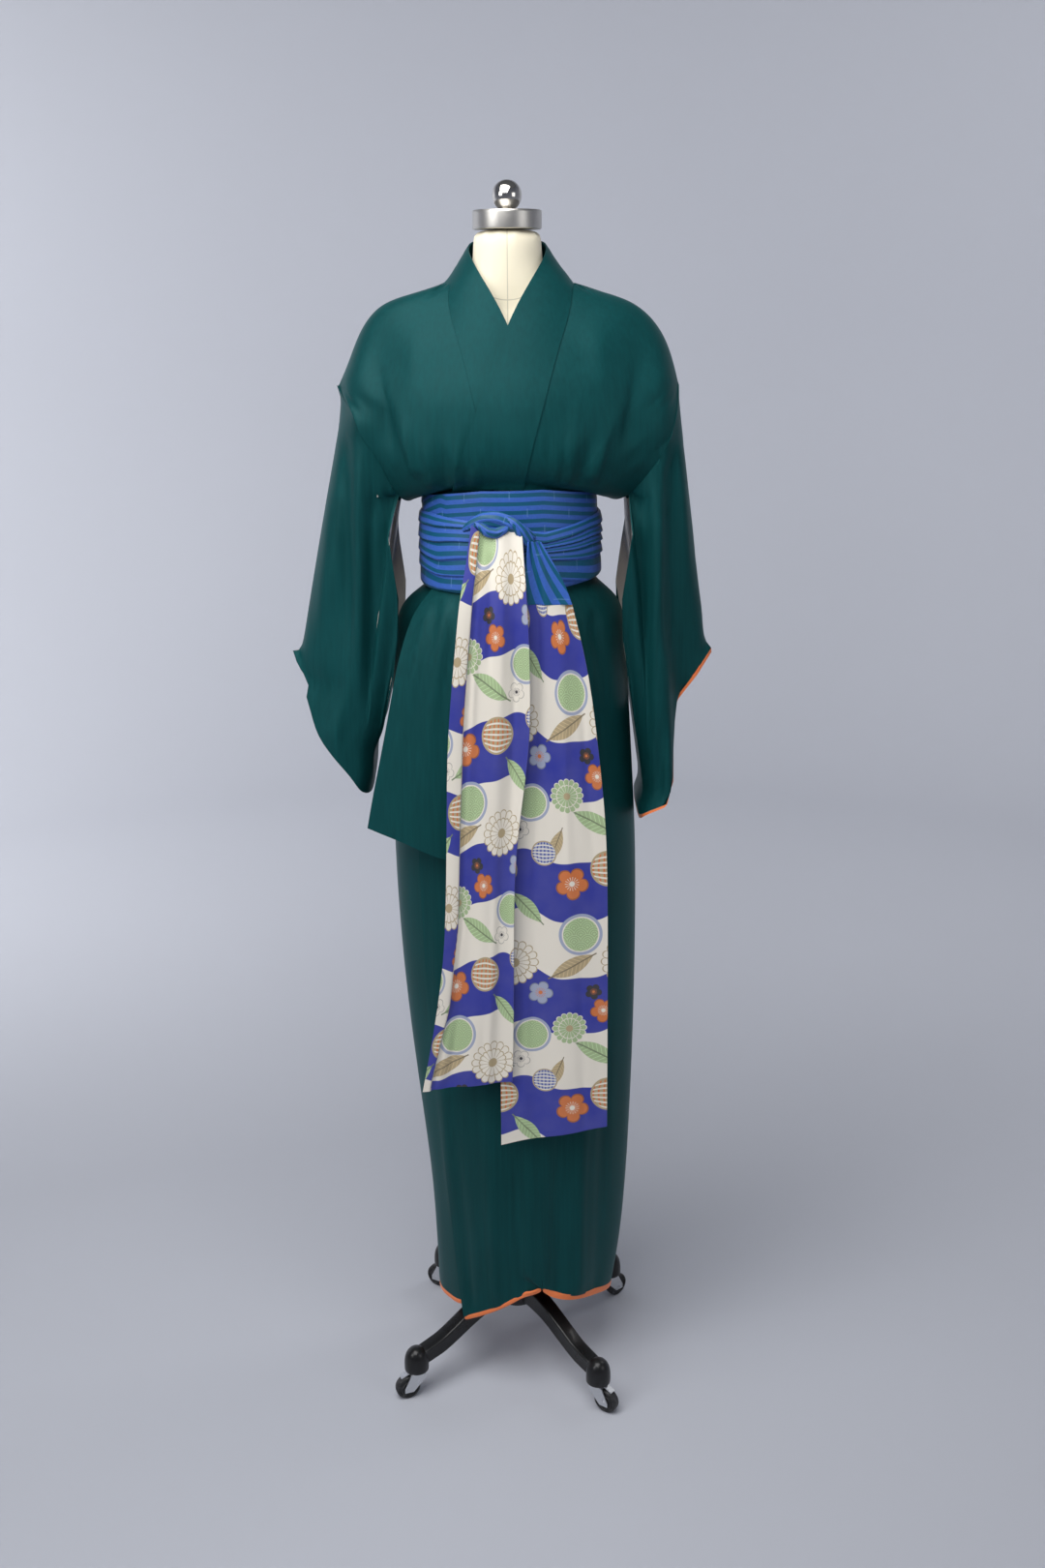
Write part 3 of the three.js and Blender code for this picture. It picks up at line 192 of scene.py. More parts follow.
# Pleat edges of the lower wrap, as a share of its height, at angles round the body.
PLEAT_ANGLES = (-180, -90, -50, -26, 10, 34, 62, 90, 130, 180)
PLEAT_LINES = (
    (-0.10, -0.10, -0.08, -0.02, 0.30, 0.10, -0.05, -0.10, -0.10, -0.10),
    (0.20, 0.24, 0.20, 0.22, 0.56, 0.46, 0.36, 0.30, 0.24, 0.20),
    (0.40, 0.44, 0.40, 0.46, 0.67, 0.62, 0.56, 0.50, 0.46, 0.40),
    (0.60, 0.60, 0.64, 0.70, 0.74, 0.72, 0.68, 0.64, 0.62, 0.60),
    (0.80, 0.82, 0.84, 0.90, 0.80, 0.82, 0.82, 0.80, 0.80, 0.80),
)

# Rolls of the knot: stations of (x, y, z, half height, half depth), and how many grooves.
KNOT_ROLLS = (
    (((-60, -120, 1327, 3, 3), (-50, -125, 1334, 8, 7), (-34, -128, 1341, 11, 9),
      (-16, -129, 1341, 12, 10), (2, -128, 1334, 12, 10), (18, -125, 1324, 10, 9),
      (32, -120, 1316, 5, 5)), 5),
    (((-46, -130, 1340, 2, 2), (-38, -134, 1334, 5, 4), (-28, -136, 1327, 7, 5),
      (-16, -137, 1325, 7.5, 5), (-4, -135, 1331, 6, 5), (4, -131, 1339, 2, 2)), 3),
    (((-4, -131, 1344, 3, 3), (6, -134, 1338, 7, 6), (16, -134, 1327, 9, 7),
      (23, -131, 1315, 9, 7), (28, -127, 1303, 6, 5)), 4),
)

# Leg of the base: reach from the pole, height of its middle and depth, in millimetres.
LEG_LINE = (
    (20, 112, 33.4), (35, 112, 32), (55, 109.6, 31), (75, 105, 30), (95, 97, 29),
    (115, 88, 28), (135, 79, 27), (150, 73, 26), (170, 69, 25), (187, 66, 24),
)
LEG_REACH = 197
LEG_SKEW = 6.57          # the legs stand this many degrees off the diagonals
LEG_ANGLES = tuple(math.radians(a - LEG_SKEW) for a in (-135, -45, 45, 135))
LEG_HALF_WIDTH, LEG_WAIST, LEG_SQUARENESS = 12, 0.12, 0.28
BALL_RADIUS, BALL_HEIGHT = 19.5, 1741
BALL_STEM = (
    (0, 1723.5), (11, 1723.5), (11.4, 1724.2), (11, 1725), (8.6, 1725.6), (7.4, 1726.6),
    (7.2, 1728), (7.8, 1729.4),
)
POLE_PROFILE = ((0, 130.4), (15.6, 130.4), (16, 131), (16, 929), (15.6, 929.6), (0, 929.6))
CAP_PROFILE = (
    (0, 46.2), (17.2, 46.2), (18.4, 47.4), (18.7, 52), (18.6, 60), (18.0, 66), (16.6, 72),
    (14.2, 77), (10.8, 81), (6.4, 83.8), (0, 84.8),
)
HUB_PROFILE = (
    (0, 88.3), (26, 88.3), (28.5, 90), (29.6, 96), (29.8, 122), (29, 126.5), (26.5, 129),
    (22, 129.8), (0, 129.8),
)
RING_PROFILE = (
    (0, 1699.4), (43.6, 1699.4), (44.8, 1700.4), (45, 1702), (45, 1720), (44.8, 1721.8),
    (43.6, 1723.1), (0, 1723.2),
)
WHEEL_SIDE = (
    (3.5, -5.6), (7.2, -5.8), (7.8, -6.4), (9.0, -6.4), (9.6, -5.4), (14.2, -5.2),
    (15.0, -6.3), (17.0, -6.4), (18.3, -5.4), (18.9, -3.6),
)
WHEEL_PROFILE = (*WHEEL_SIDE, (19.0, 0), *((r, -h) for r, h in reversed(WHEEL_SIDE)))

# What each cloth piece was cut to before it was hung: width, length and, where the
# cut isn't a rectangle, area, in metres; how it is held, and what it rests on.
CUTS = {
    "front_left": (0.27, 1.52, 0.29, "draped", "form_shell"),
    "front_right": (0.27, 1.52, 0.27, "draped", "form_shell"),
    "overlap_left": (0.17, 1.25, 0.195, "draped", "robe_front_right"),
    "overlap_right": (0.14, 1.20, 0.142, "draped", "form_shell"),
    "back_left": (0.31, 1.55, 0.35, "draped", "form_shell"),
    "back_right": (0.31, 1.55, 0.34, "draped", "form_shell"),
    "sleeve_left": (0.22, 0.98, 0.165, "hung", "robe_front_left"),
    "sleeve_right": (0.22, 0.98, 0.16, "hung", "robe_front_right"),
    "collar_left": (0.075, 0.46, None, "folded", "form_shell"),
    "collar_right": (0.075, 0.44, None, "folded", "form_shell"),
    "front_overfold": (0.33, 0.46, 0.105, "hung", "sash_lower_wrap_cloth"),
    "sash_upper_wrap": (0.075, 0.70, None, "folded", "robe_front_left"),
    "sash_lower_wrap": (0.105, 0.72, None, "folded", "robe_front_left"),
    "sash_end_left": (0.12, 0.79, None, "hung", "sash_knot_cloth_1"),
    "sash_end_right": (0.15, 0.78, None, "hung", "sash_end_right_striped"),
    "sash_end_right_top": (0.06, 0.085, None, "hung", "sash_knot_cloth_1"),
}
HEM_LINING_TOP = 0.42    # how high the hem's colour reaches inside the robe, in metres
WORN_BLACK = (0.05, 0.05, 0.052)

SIDES = ("_left", "_right")
# Pieces that each piece of the robe is sewn to, of those added before it.
SEAMS = {
    "front_left": ("collar_left_band",),
    "front_right": ("collar_right_band",),
    "overlap_left": ("collar_left_band", "robe_front_left"),
    "overlap_right": ("collar_right_band", "robe_front_right"),
    "back_left": ("collar_left_band", "robe_front_left"),
    "back_right": ("collar_right_band", "robe_front_right", "robe_back_left"),
    "sleeve_left": ("robe_front_left", "robe_back_left"),
    "sleeve_right": ("robe_front_right", "robe_back_right"),
}

# Folds die away under the sash, between these heights, in millimetres.
SASH_LOW_EDGE, SASH_HIGH_EDGE = (1226, 1246), (1368, 1386)
# What the tables' widths and rises are multiplied by, and the deepest fold inwards.
FOLD_WIDTH, BODY_FOLD_RISE, SLEEVE_FOLD_RISE, DEEPEST_SLEEVE_FOLD = 0.8, 2.1, 1.7, -6.0
# How much silk covers the lining: round a seam, and round the rims of the sleeves, in
# millimetres; the sleeves start at this distance to the side, in metres.
SEAM_COVER, RIM_COVER, SLEEVE_START = 16, 6, 0.2
# How the solids are smoothed: rims thinner than this keep their edges, angles in degrees.
WELD, THIN_RIM = 0.02 * MM, 3 * MM
CREASE_ANGLE, LOOSE_ANGLE, SHARP_ANGLE, SIDE_ANGLE = 30, 34, 36, 45
SMALLEST_SIDE = 0.05     # share of the surface
# Folds grow from none to whole between these distances from another solid, in millimetres.
CLEAR_RANGE = (3, 34)

# Lights: place and target in metres, size, and which power of the settings, times what.
LIGHTS = (
    ("top", (-0.5, -1.1, 2.95), (0, 0, 1.2), 2.0, "key", 1.0),
    ("left", (-2.5, -2.1, 2.3), (0, 0, 1.2), 1.5, "fill", 1.0),
    ("right", (2.6, -2.0, 1.9), (0, 0, 1.0), 1.5, "fill", 0.4),
    ("backdrop_left", (-2.2, 1.2, 2.2), (-3.0, 4.0, 0.8), 1.4, "fill", 2.6),
    ("backdrop_right", (2.0, 1.0, 2.8), (1.2, 4.2, 1.4), 1.6, "fill", 1.6),
)
ROOM_COLOUR, ROOM_STRENGTH = (0.80, 0.84, 0.92, 1), 0.13
# How far the camera is to the side of the pole, in metres, and its sensor, in millimetres.
CAMERA_SIDE, SENSOR_WIDTH = 0.0145, 36
# The floor is level this far out and then bends up to the backdrop's top, in metres.
FLOOR_LEVEL, FLOOR_BEND, BACKDROP_TOP = 3.0, 1.5, 6.0


# ------------------------------------------------------------------ settings
def colour(name, text, default):
    """A colour that the user may change."""
    return FloatVectorProperty(
        name=name, description=text, default=default, subtype="COLOR", size=3, min=0, max=1
    )


def distance(name, text, default):
    """A size in metres that the user may change."""
    return FloatProperty(
        name=name, description=text, default=default, min=0, unit="LENGTH", subtype="DISTANCE"
    )


def share(name, text, default):
    """A share from 0 to 1 that the user may change."""
    return FloatProperty(
        name=name, description=text, default=default, min=0, max=1, subtype="FACTOR"
    )


def lean(name, text, degrees):
    """An angle that the user may change."""
    return FloatProperty(
        name=name, description=text, default=math.radians(degrees), subtype="ANGLE",
        unit="ROTATION",
    )


def power(name, text, default):
    """A light's power that the user may change."""
    return FloatProperty(name=name, description=text, default=default, min=0, unit="POWER")


class KimonoRobeSettings(bpy.types.PropertyGroup):
    """Colours and finish of the robe."""

    silk: colour("Silk", "Colour of the outer silk", (0.0027, 0.031, 0.0325))
    silk_light: colour(
        "Silk Light", "Colour of the silk where it catches light", (0.0052, 0.062, 0.065)
    )
    roughness: share("Silk Roughness", "How dull the outer silk is", 0.48)
    sheen: share("Silk Sheen", "Soft sheen at glancing angles", 0.05)
    lining: colour("Lining", "Colour of the body and sleeve lining", (0.62, 0.56, 0.5))
    hem: colour("Hem Lining", "Colour of the lining at hem and cuff", (0.83, 0.21, 0.065))


class KimonoSashSettings(bpy.types.PropertyGroup):
    """Colours and sizes of the sash."""

    stripe_blue: colour("Blue Stripe", "Colour of the bright stripe", (0.040, 0.122, 0.46))
    stripe_teal: colour("Teal Stripe", "Colour of the dark stripe", (0.004, 0.088, 0.165))
    stripe_pitch: distance("Stripe Pitch", "From one stripe to the next like it", 0.0112)
    cream: colour("Cream", "Ground of the printed silk", (0.80, 0.745, 0.645))
    cobalt: colour("Cobalt", "Bands of the printed silk", (0.011, 0.022, 0.30))
    sage: colour("Sage", "Leaf green of the printed silk", (0.36, 0.48, 0.25))
    orange: colour("Orange", "Blossom colour of the printed silk", (0.60, 0.16, 0.035))
    tan: colour("Tan", "Straw colour of the printed silk", (0.44, 0.34, 0.19))
    grey: colour("Blue Grey", "Ball colour of the printed silk", (0.33, 0.37, 0.50))


class KimonoFormSettings(bpy.types.PropertyGroup):
    """Colours of the dress form and its stand."""

    canvas: colour("Canvas", "Cover of the form", (0.92, 0.84, 0.64))
    metal: colour("Metal", "Neck ring, ball and pole", (0.68, 0.655, 0.61))
    iron: colour("Iron", "Painted base", (0.0075, 0.0075, 0.008))
    zinc: colour("Zinc", "Caster forks", (0.66, 0.67, 0.69))
    rubber: colour("Rubber", "Caster wheels", (0.014, 0.014, 0.015))


class KimonoStageSettings(bpy.types.PropertyGroup):
    """Floor, light and camera."""

    floor: colour("Backdrop", "Floor and backdrop", (0.50, 0.515, 0.565))
    lens: FloatProperty(
        name="Lens", description="Focal length", default=36.39, min=1, unit="CAMERA"
    )
    height: distance("Camera Height", "Height of the camera over the floor", 1.62)
    back: distance("Camera Distance", "From the pole to the camera, along the floor", 2.18)
    tilt: lean("Tilt", "How far the camera looks down", 17.2)
    roll: lean("Roll", "How far the camera leans", -0.43)
    key: power("Key Light", "Power of the main light", 64)
    fill: power("Fill Light", "Power of the side lights", 26)


# ------------------------------------------------------------------ materials
class Field:
    """A number over the surface, worked on with ordinary arithmetic."""

    def __init__(self, weaver, socket):
        self.weaver = weaver
        self.socket = socket

    def run(self, operation, *others):
        node = self.weaver.nodes.new("ShaderNodeMath")
        node.operation = operation
        for place, item in enumerate((self, *others)):
            self.weaver.feed(node.inputs[place], item)
        return Field(self.weaver, node.outputs[0])

    def __add__(self, other):
        return self.run("ADD", other)

    def __sub__(self, other):
        return self.run("SUBTRACT", other)

    def __mul__(self, other):
        return self.run("MULTIPLY", other)

    def __truediv__(self, other):
        return self.run("DIVIDE", other)

    def part(self):
        """The part after the point."""
        return self.run("FRACT")

    def centred(self, pitch):
        """Distance from the nearest whole multiple of pitch."""
        return ((self / pitch + 0.5).part() - 0.5) * pitch

    def inside(self, limit, blur):
        """1 where the number is under limit, 0 where it is over, with a soft edge."""
        node = self.weaver.nodes.new("ShaderNodeMapRange")
        node.interpolation_type = "SMOOTHSTEP"
        self.weaver.feed(node.inputs[0], self)
        for place, value in enumerate((limit - blur, limit + blur, 1, 0)):
            self.weaver.feed(node.inputs[place + 1], value)
        return Field(self.weaver, node.outputs[0])


class Weaver:
    """Builds one material from linked nodes."""

    def __init__(self, name, **finish):
        self.material = bpy.data.materials.new(name)
        self.material.use_nodes = True
        self.nodes = self.material.node_tree.nodes
        self.links = self.material.node_tree.links
        self.nodes.clear()
        self.shader = self.nodes.new("ShaderNodeBsdfPrincipled")
        output = self.nodes.new("ShaderNodeOutputMaterial")
        self.links.new(self.shader.outputs[0], output.inputs[0])
        for words, value in finish.items():
            socket = words.replace("_", " ").title().replace("Ior", "IOR")
            self.shader.inputs[socket].default_value = value

    def feed(self, socket, item):
        """Sets a socket to a number, a colour or the end of another node."""
        if isinstance(item, Field):
            self.links.new(item.socket, socket)
        elif isinstance(item, bpy.types.NodeSocket):
            self.links.new(item, socket)
        elif hasattr(item, "__len__") and len(item) == 3 and socket.type == "RGBA":
            socket.default_value = (*item, 1)
        else:
            socket.default_value = item

    def place(self, stretch=(1, 1, 1)):
        """Where a point of the surface is on its piece, stretched along each axis."""
        source = self.nodes.new("ShaderNodeTexCoord")
        mapping = self.nodes.new("ShaderNodeMapping")
        self.links.new(source.outputs["Object"], mapping.inputs[0])
        mapping.inputs["Scale"].default_value = stretch
        return mapping.outputs[0]

    def parts(self, vector):
        """The three numbers of a vector."""
        node = self.nodes.new("ShaderNodeSeparateXYZ")
        self.links.new(vector, node.inputs[0])
        return [Field(self, out) for out in node.outputs]

    def thread(self):
        """Along the cloth and across the cloth, in metres."""
        node = self.nodes.new("ShaderNodeAttribute")
        node.attribute_name = "cloth"
        return self.parts(node.outputs["Vector"])[:2]

    def speckle(self, scale, detail=2, stretch=(1, 1, 1), rough=0.5):
        """Noise from 0 to 1."""
        node = self.nodes.new("ShaderNodeTexNoise")
        self.links.new(self.place(stretch), node.inputs["Vector"])
        node.inputs["Scale"].default_value = scale
        node.inputs["Detail"].default_value = detail
        node.inputs["Roughness"].default_value = rough
        return Field(self, node.outputs[0])

    def blend(self, factor, first, second):
        """first where the factor is 0 and second where it is 1."""
        node = self.nodes.new("ShaderNodeMix")
        node.data_type = "RGBA"
        self.feed(node.inputs[0], factor)
        self.feed(node.inputs[6], first)
        self.feed(node.inputs[7], second)
        return node.outputs[2]

    def relief(self, height, depth, strength):
        """Presses a height into the surface, over what is pressed in already."""
        node = self.nodes.new("ShaderNodeBump")
        node.inputs["Strength"].default_value = strength
        node.inputs["Distance"].default_value = depth
        self.feed(node.inputs["Height"], height)
        normal = self.shader.inputs["Normal"]
        if normal.is_linked:
            self.links.new(normal.links[0].from_socket, node.inputs["Normal"])
        self.links.new(node.outputs[0], normal)

    def shades(self, factor, tint, low, high):
        """A colour times low where the factor is 0, and times high where it is 1."""
        return self.blend(factor, scaled(tint, low), scaled(tint, high))

    def finish(self, colour, roughness):
        """Links the colour and roughness and gives back the material."""
        self.feed(self.shader.inputs["Base Color"], colour)
        self.feed(self.shader.inputs["Roughness"], roughness)
        return self.material


def scaled(tint, factor):
    """A colour made lighter or darker."""
    return tuple(min(1.0, c * factor) for c in tint)


def silk_weave(w, crepe=1300):
    """Fine crepe and lengthwise threads, pressed into a silk."""
    w.relief(w.speckle(crepe, 2), 0.00022, 0.5)
    w.relief(w.speckle(1, 3, (900, 900, 60)), 0.00012, 0.5)


def robe_silk(settings):
    """Dark silk with soft clouds, slubs and a low sheen."""
    w = Weaver(
        "robe_silk", sheen_weight=settings.sheen, sheen_roughness=0.42,
        sheen_tint=(*scaled(settings.silk_light, 8), 1), specular_ior_level=0.2,
        specular_tint=(0.35, 0.9, 0.92, 1),
    )
    cloud = w.speckle(6, 4, (1, 1, 0.6), 0.55)
    slub = w.speckle(1, 3, (240, 240, 7), 0.6)
    shade = (cloud - 0.5) * 1.1 + (slub - 0.5) * 0.9 + 0.42
    silk_weave(w)
    return w.finish(
        w.blend(shade, settings.silk, settings.silk_light),
        (slub - 0.5) * 0.14 + (cloud - 0.5) * 0.1 + settings.roughness,
    )


def plain_silk(name, tint):
    """A plain lining silk with a faint weave."""
    w = Weaver(name, sheen_weight=0.15, sheen_roughness=0.4, specular_ior_level=0.35)
    cloud = w.speckle(14, 3)
    thread = w.speckle(1, 2, (500, 500, 30))
    silk_weave(w, 1700)
    return w.finish(
        w.shades(cloud * 0.6 + thread * 0.4, tint, 0.88, 1.1),
        (thread - 0.5) * 0.16 + 0.52,
    )


def body_lining(settings):
    """Pale lining that changes to the hem colour low down."""
    w = Weaver("robe_lining", sheen_weight=0.12, sheen_roughness=0.4, specular_ior_level=0.35)
    height = w.parts(w.place())[2]
    cloud = w.speckle(12, 3)
    silk_weave(w, 1700)
    pale = w.shades(cloud, settings.lining, 0.9, 1.08)
    deep = w.shades(cloud, settings.hem, 0.88, 1.08)
    low = height.inside(HEM_LINING_TOP, 0.001)
    return w.finish(w.blend(low, pale, deep), (cloud - 0.5) * 0.15 + 0.55)


def striped_silk(settings):
    """Blue and teal stripes along the cloth, with short pale ticks in the weave."""
    w = Weaver("striped_silk", sheen_weight=0.08, sheen_roughness=0.38, specular_ior_level=0.32)
    along, across = w.thread()
    pitch, tick_pitch = settings.stripe_pitch, 0.058
    wander = (w.speckle(60, 2) - 0.5) * 0.0006
    stripe = (across + wander).centred(pitch).run("ABSOLUTE").inside(pitch * 0.27, pitch * 0.022)
    row = across / (pitch * 2)
    shift = (row.run("FLOOR") * 0.618).part() * tick_pitch
    tick = (along + shift).centred(tick_pitch).run("ABSOLUTE").inside(0.0006, 0.0004)
    broken = w.speckle(1, 1, (700, 700, 700)).inside(0.62, 0.03)
    tick = tick * broken * row.part().inside(0.52, 0.02)
    slub = w.speckle(1, 3, (300, 60, 300))
    base = w.blend(stripe, settings.stripe_teal, settings.stripe_blue)
    pale = w.blend(tick * 0.55, base, (0.13, 0.27, 0.52))
    dark = w.blend((slub - 0.3) * 0.35, pale, (0.003, 0.03, 0.10))
    silk_weave(w, 1100)
    w.relief(stripe, 0.00012, 0.6)
    return w.finish(dark, (slub - 0.5) * 0.14 + 0.44)


class Motif:
    """Round coordinates about one place of a repeating print."""

    def __init__(self, u, v, centre, radius, repeat):
        du = (u - centre[0]).centred(repeat[0])
        dv = (v - centre[1]).centred(repeat[1])
        self.du = du / radius
        self.dv = dv / radius
        self.far = (self.du * self.du + self.dv * self.dv).run("SQRT")
        self.turn = self.dv.run("ARCTAN2", self.du)

    def petals(self, count, low, high, phase):
        """Radius of a flower of so many round petals, by direction."""
        wave = (self.turn * (count / 2) + phase).run("COSINE").run("ABSOLUTE")
        return wave.run("POWER", 0.55) * (high - low) + low


def printed_silk(settings, shift):
    """Cobalt and cream bands with blossoms, leaves, waves and balls in other colours."""
    w = Weaver("printed_silk", sheen_weight=0.16, sheen_roughness=0.4, specular_ior_level=0.42)
    along, across = w.thread()
    u = across + shift[0]
    v = along + shift[1]
    edge = 0.012
    swell = (u * (2 * math.pi / 0.17) + 0.8).run("SINE") * 0.011
    swell = swell + (u * (2 * math.pi / 0.07)).run("SINE") * 0.003
    band = (v + swell).centred(0.172).run("ABSOLUTE").inside(0.043, 0.0004)
    names = ("cream", "cobalt", "sage", "orange", "tan", "grey")
    colours = {name: tuple(getattr(settings, name)) for name in names}
    colours["ink"] = (0.012, 0.011, 0.02)

    def wave_roundel(base, m):
        pitch, row = 0.62, 0.34
        rows = (m.dv / row).run("FLOOR")
        du = (m.du + (rows * 0.5).part() * pitch).centred(pitch)
        dv = (m.dv / row).part() * row
        lines = ((du * du + dv * dv).run("SQRT") / 0.1).part().inside(0.5, 0.08)
        fill = w.shades(lines, colours["sage"], 0.86, 1.25)
        for size, tint in ((1.0, colours["grey"]), (0.86, colours["cream"]), (0.8, fill)):
            base = w.blend(m.far.inside(size, 0.01), base, tint)
        return base

    def blossom(base, m, petal, heart, phase):
        rim_of = m.far - m.petals(5, 0.62, 1.0, phase)
        base = w.blend(rim_of.inside(0.0, edge), base, scaled(colours[petal], 0.55))
        base = w.blend((rim_of + 0.09).inside(0.0, edge), base, colours[petal])
        stamen = (m.turn * 7.5).run("COSINE").run("ABSOLUTE").inside(0.35, 0.1)
        base = w.blend(stamen * m.far.inside(0.42, 0.02), base, colours[heart])
        return w.blend(m.far.inside(0.16, 0.02), base, colours[heart])

    def rosette(base, m, petal, line):
        for size, phase in ((1.0, 0.0), (0.66, 0.2)):
            rim_of = m.far - m.petals(16, 0.84 * size, size, phase)
            base = w.blend(rim_of.inside(0.0, edge), base, colours[line])
            rays = (m.turn * 8 + phase).run("COSINE").run("ABSOLUTE").inside(0.22, 0.05)
            fill = w.blend(rays, colours[petal], colours[line])
            base = w.blend((rim_of + 0.05).inside(0.0, edge), base, fill)
        return w.blend(m.far.inside(0.2, edge), base, colours["tan"])

    def ball(base, m, first, second):
        base = w.blend(m.far.inside(1.0, edge), base, colours[first])
        for run, bow, tint in ((m.du, m.dv, second), (m.dv, m.du, "cream")):
            strand = (run * (bow * bow * 0.5 + 1.0) / 0.3).part().inside(0.35, 0.06)
            base = w.blend(strand * m.far.inside(0.9, edge), base, colours[tint])
        return w.blend((m.far - 0.95).run("ABSOLUTE").inside(0.05, edge), base, colours["tan"])

    def leaf(base, m, tint, tilt):
        c, s = math.cos(tilt), math.sin(tilt)
        a = m.du * c + m.dv * s
        off = (m.dv * c - m.du * s).run("ABSOLUTE")
        veins = ((a + off * 0.8) / 0.2).part().inside(0.16, 0.05)
        fill = w.shades(veins, colours[tint], 1, 1.5)
        base = w.blend((off - (a * a * -0.36 + 0.36)).inside(0.0, edge), base, fill)
        rib = off.inside(0.03, edge) * a.run("ABSOLUTE").inside(1.15, 0.02)
        return w.blend(rib, base, scaled(colours[tint], 0.45))

    motifs = (
        (leaf, (0.030, 0.052), 0.034, "tan", 0.5),
        (leaf, (0.122, 0.140), 0.030, "sage", 2.3),
        (leaf, (0.066, 0.262), 0.036, "sage", -0.5),
        (leaf, (0.008, 0.232), 0.024, "tan", 1.2),
        (wave_roundel, (0.042, 0.100), 0.031),
        (wave_roundel, (0.128, 0.292), 0.027),
        (rosette, (0.104, 0.058), 0.034, "cream", "tan"),
        (rosette, (0.026, 0.302), 0.025, "sage", "cream"),
        (ball, (0.082, 0.196), 0.026, "tan", "orange"),
        (ball, (0.146, 0.220), 0.018, "grey", "cobalt"),
        (blossom, (0.030, 0.176), 0.024, "orange", "cream", 0.5),
        (blossom, (0.074, 0.328), 0.019, "orange", "cream", 1.1),
        (blossom, (0.140, 0.012), 0.018, "grey", "orange", 0.2),
        (blossom, (0.112, 0.254), 0.014, "cream", "ink", 0.9),
        (blossom, (0.060, 0.012), 0.012, "ink", "orange", 0.4),
    )
    pattern = w.blend(band, colours["cream"], colours["cobalt"])
    for draw, centre, radius, *rest in motifs:
        pattern = draw(pattern, Motif(u, v, centre, radius, (0.155, 0.345)), *rest)
    cloud = w.speckle(30, 3)
    slub = w.speckle(1, 2, (300, 300, 40))
    silk_weave(w, 1100)
    return w.finish(
        w.blend(cloud * 0.1, pattern, scaled(colours["cream"], 0.8)), (slub - 0.5) * 0.14 + 0.46
    )


def canvas_cover(settings):
    """Cream canvas with a centre seam and a seam round the base of the neck."""
    w = Weaver("form_canvas", sheen_weight=0.1, sheen_roughness=0.6, specular_ior_level=0.25)
    x, y, z = w.parts(w.place())
    front = y.inside(AXIS[1], 0.001)
    side = x - AXIS[0]
    neck_seam = z - side * side * 9.0 - 1.612
    lines = [line.run("ABSOLUTE").inside(0.0006, 0.0003) for line in (side, neck_seam)]
    seam = lines[0].run("MAXIMUM", lines[1]) * front
    cloud = w.speckle(16, 3)
    warp, weft = ((part * (2 * math.pi / 0.0011)).run("SINE") for part in (x, z))
    base = w.shades(cloud, settings.canvas, 0.94, 1.05)
    w.relief(warp * weft, 0.00012, 0.5)
    w.relief(seam, 0.0005, -0.7)
    return w.finish(
        w.blend(seam * 0.5, base, scaled(settings.canvas, 0.35)), (cloud - 0.5) * 0.1 + 0.8
    )


def turned_metal(name, tint, roughness, brushed):
    """Bright metal with fine lines from polishing."""
    w = Weaver(name, metallic=1.0)
    lines = w.speckle(1, 3, (40, 40, 2600)) if brushed else w.speckle(90, 3)
    smear = w.speckle(22, 3)
    w.relief(lines, 0.00004, 0.35 if brushed else 0.12)
    return w.finish(
        w.shades(smear, tint, 0.93, 1.04),
        (smear - 0.5) * 0.12 + (lines - 0.5) * 0.08 + roughness,
    )


def painted_iron(settings):
    """Gloss black paint over rough casting, worn thin on its edges."""
    w = Weaver("black_iron", specular_ior_level=0.3, coat_weight=0.12, coat_roughness=0.1)
    grain = w.speckle(240, 4)
    smear = w.speckle(26, 3)
    geometry = w.nodes.new("ShaderNodeNewGeometry")
    edge = Field(w, geometry.outputs["Pointiness"]).inside(0.56, 0.04)
    w.relief(grain, 0.0004, 0.35)
    base = w.shades(smear, settings.iron, 0.7, 1.5)
    return w.finish(w.blend(edge, WORN_BLACK, base), (smear - 0.5) * 0.2 + 0.3)


def moulded_rubber(settings):
    """Black moulded wheel, a little dusty."""
    w = Weaver("black_wheel", specular_ior_level=0.4)
    dust = w.speckle(180, 4)
    w.relief(w.speckle(1500, 2), 0.0001, 0.4)
    return w.finish(
        w.blend(dust.inside(0.42, 0.2), settings.rubber, WORN_BLACK),
        (dust - 0.5) * 0.3 + 0.5,
    )


# ------------------------------------------------------------------ mesh tools
def show(obj):
    """Puts a new object in the scene."""
    bpy.context.scene.collection.objects.link(obj)
    return obj


def shade_smooth(mesh, sharp=None):
    """Smooth shading, with sharp edges past an angle in degrees."""
    mesh.shade_smooth()
    if sharp is not None:
        mesh.set_sharp_from_angle(angle=math.radians(sharp))


def mark_inner_side(form, away):
    """Gives the large sides of a closed wall that face its middle the second material."""
    left = set(form.faces)
    least = SMALLEST_SIDE * sum(face.calc_area() for face in form.faces)
    while left:
        side = [left.pop()]
        for face in side:
            for edge in face.edges:
                if edge.calc_face_angle(0) < math.radians(SIDE_ANGLE):
                    fresh = [f for f in edge.link_faces if f in left]
                    side.extend(fresh)
                    left.difference_update(fresh)
        areas = np.array([face.calc_area() for face in side])
        if areas.sum() < least:
            continue
        normals = np.array([face.normal for face in side])
        ahead = away(np.array([face.calc_center_median() for face in side]))
        if (areas * (normals * ahead).sum(1)).sum() < 0:
            for face in side:
                face.material_index = 1


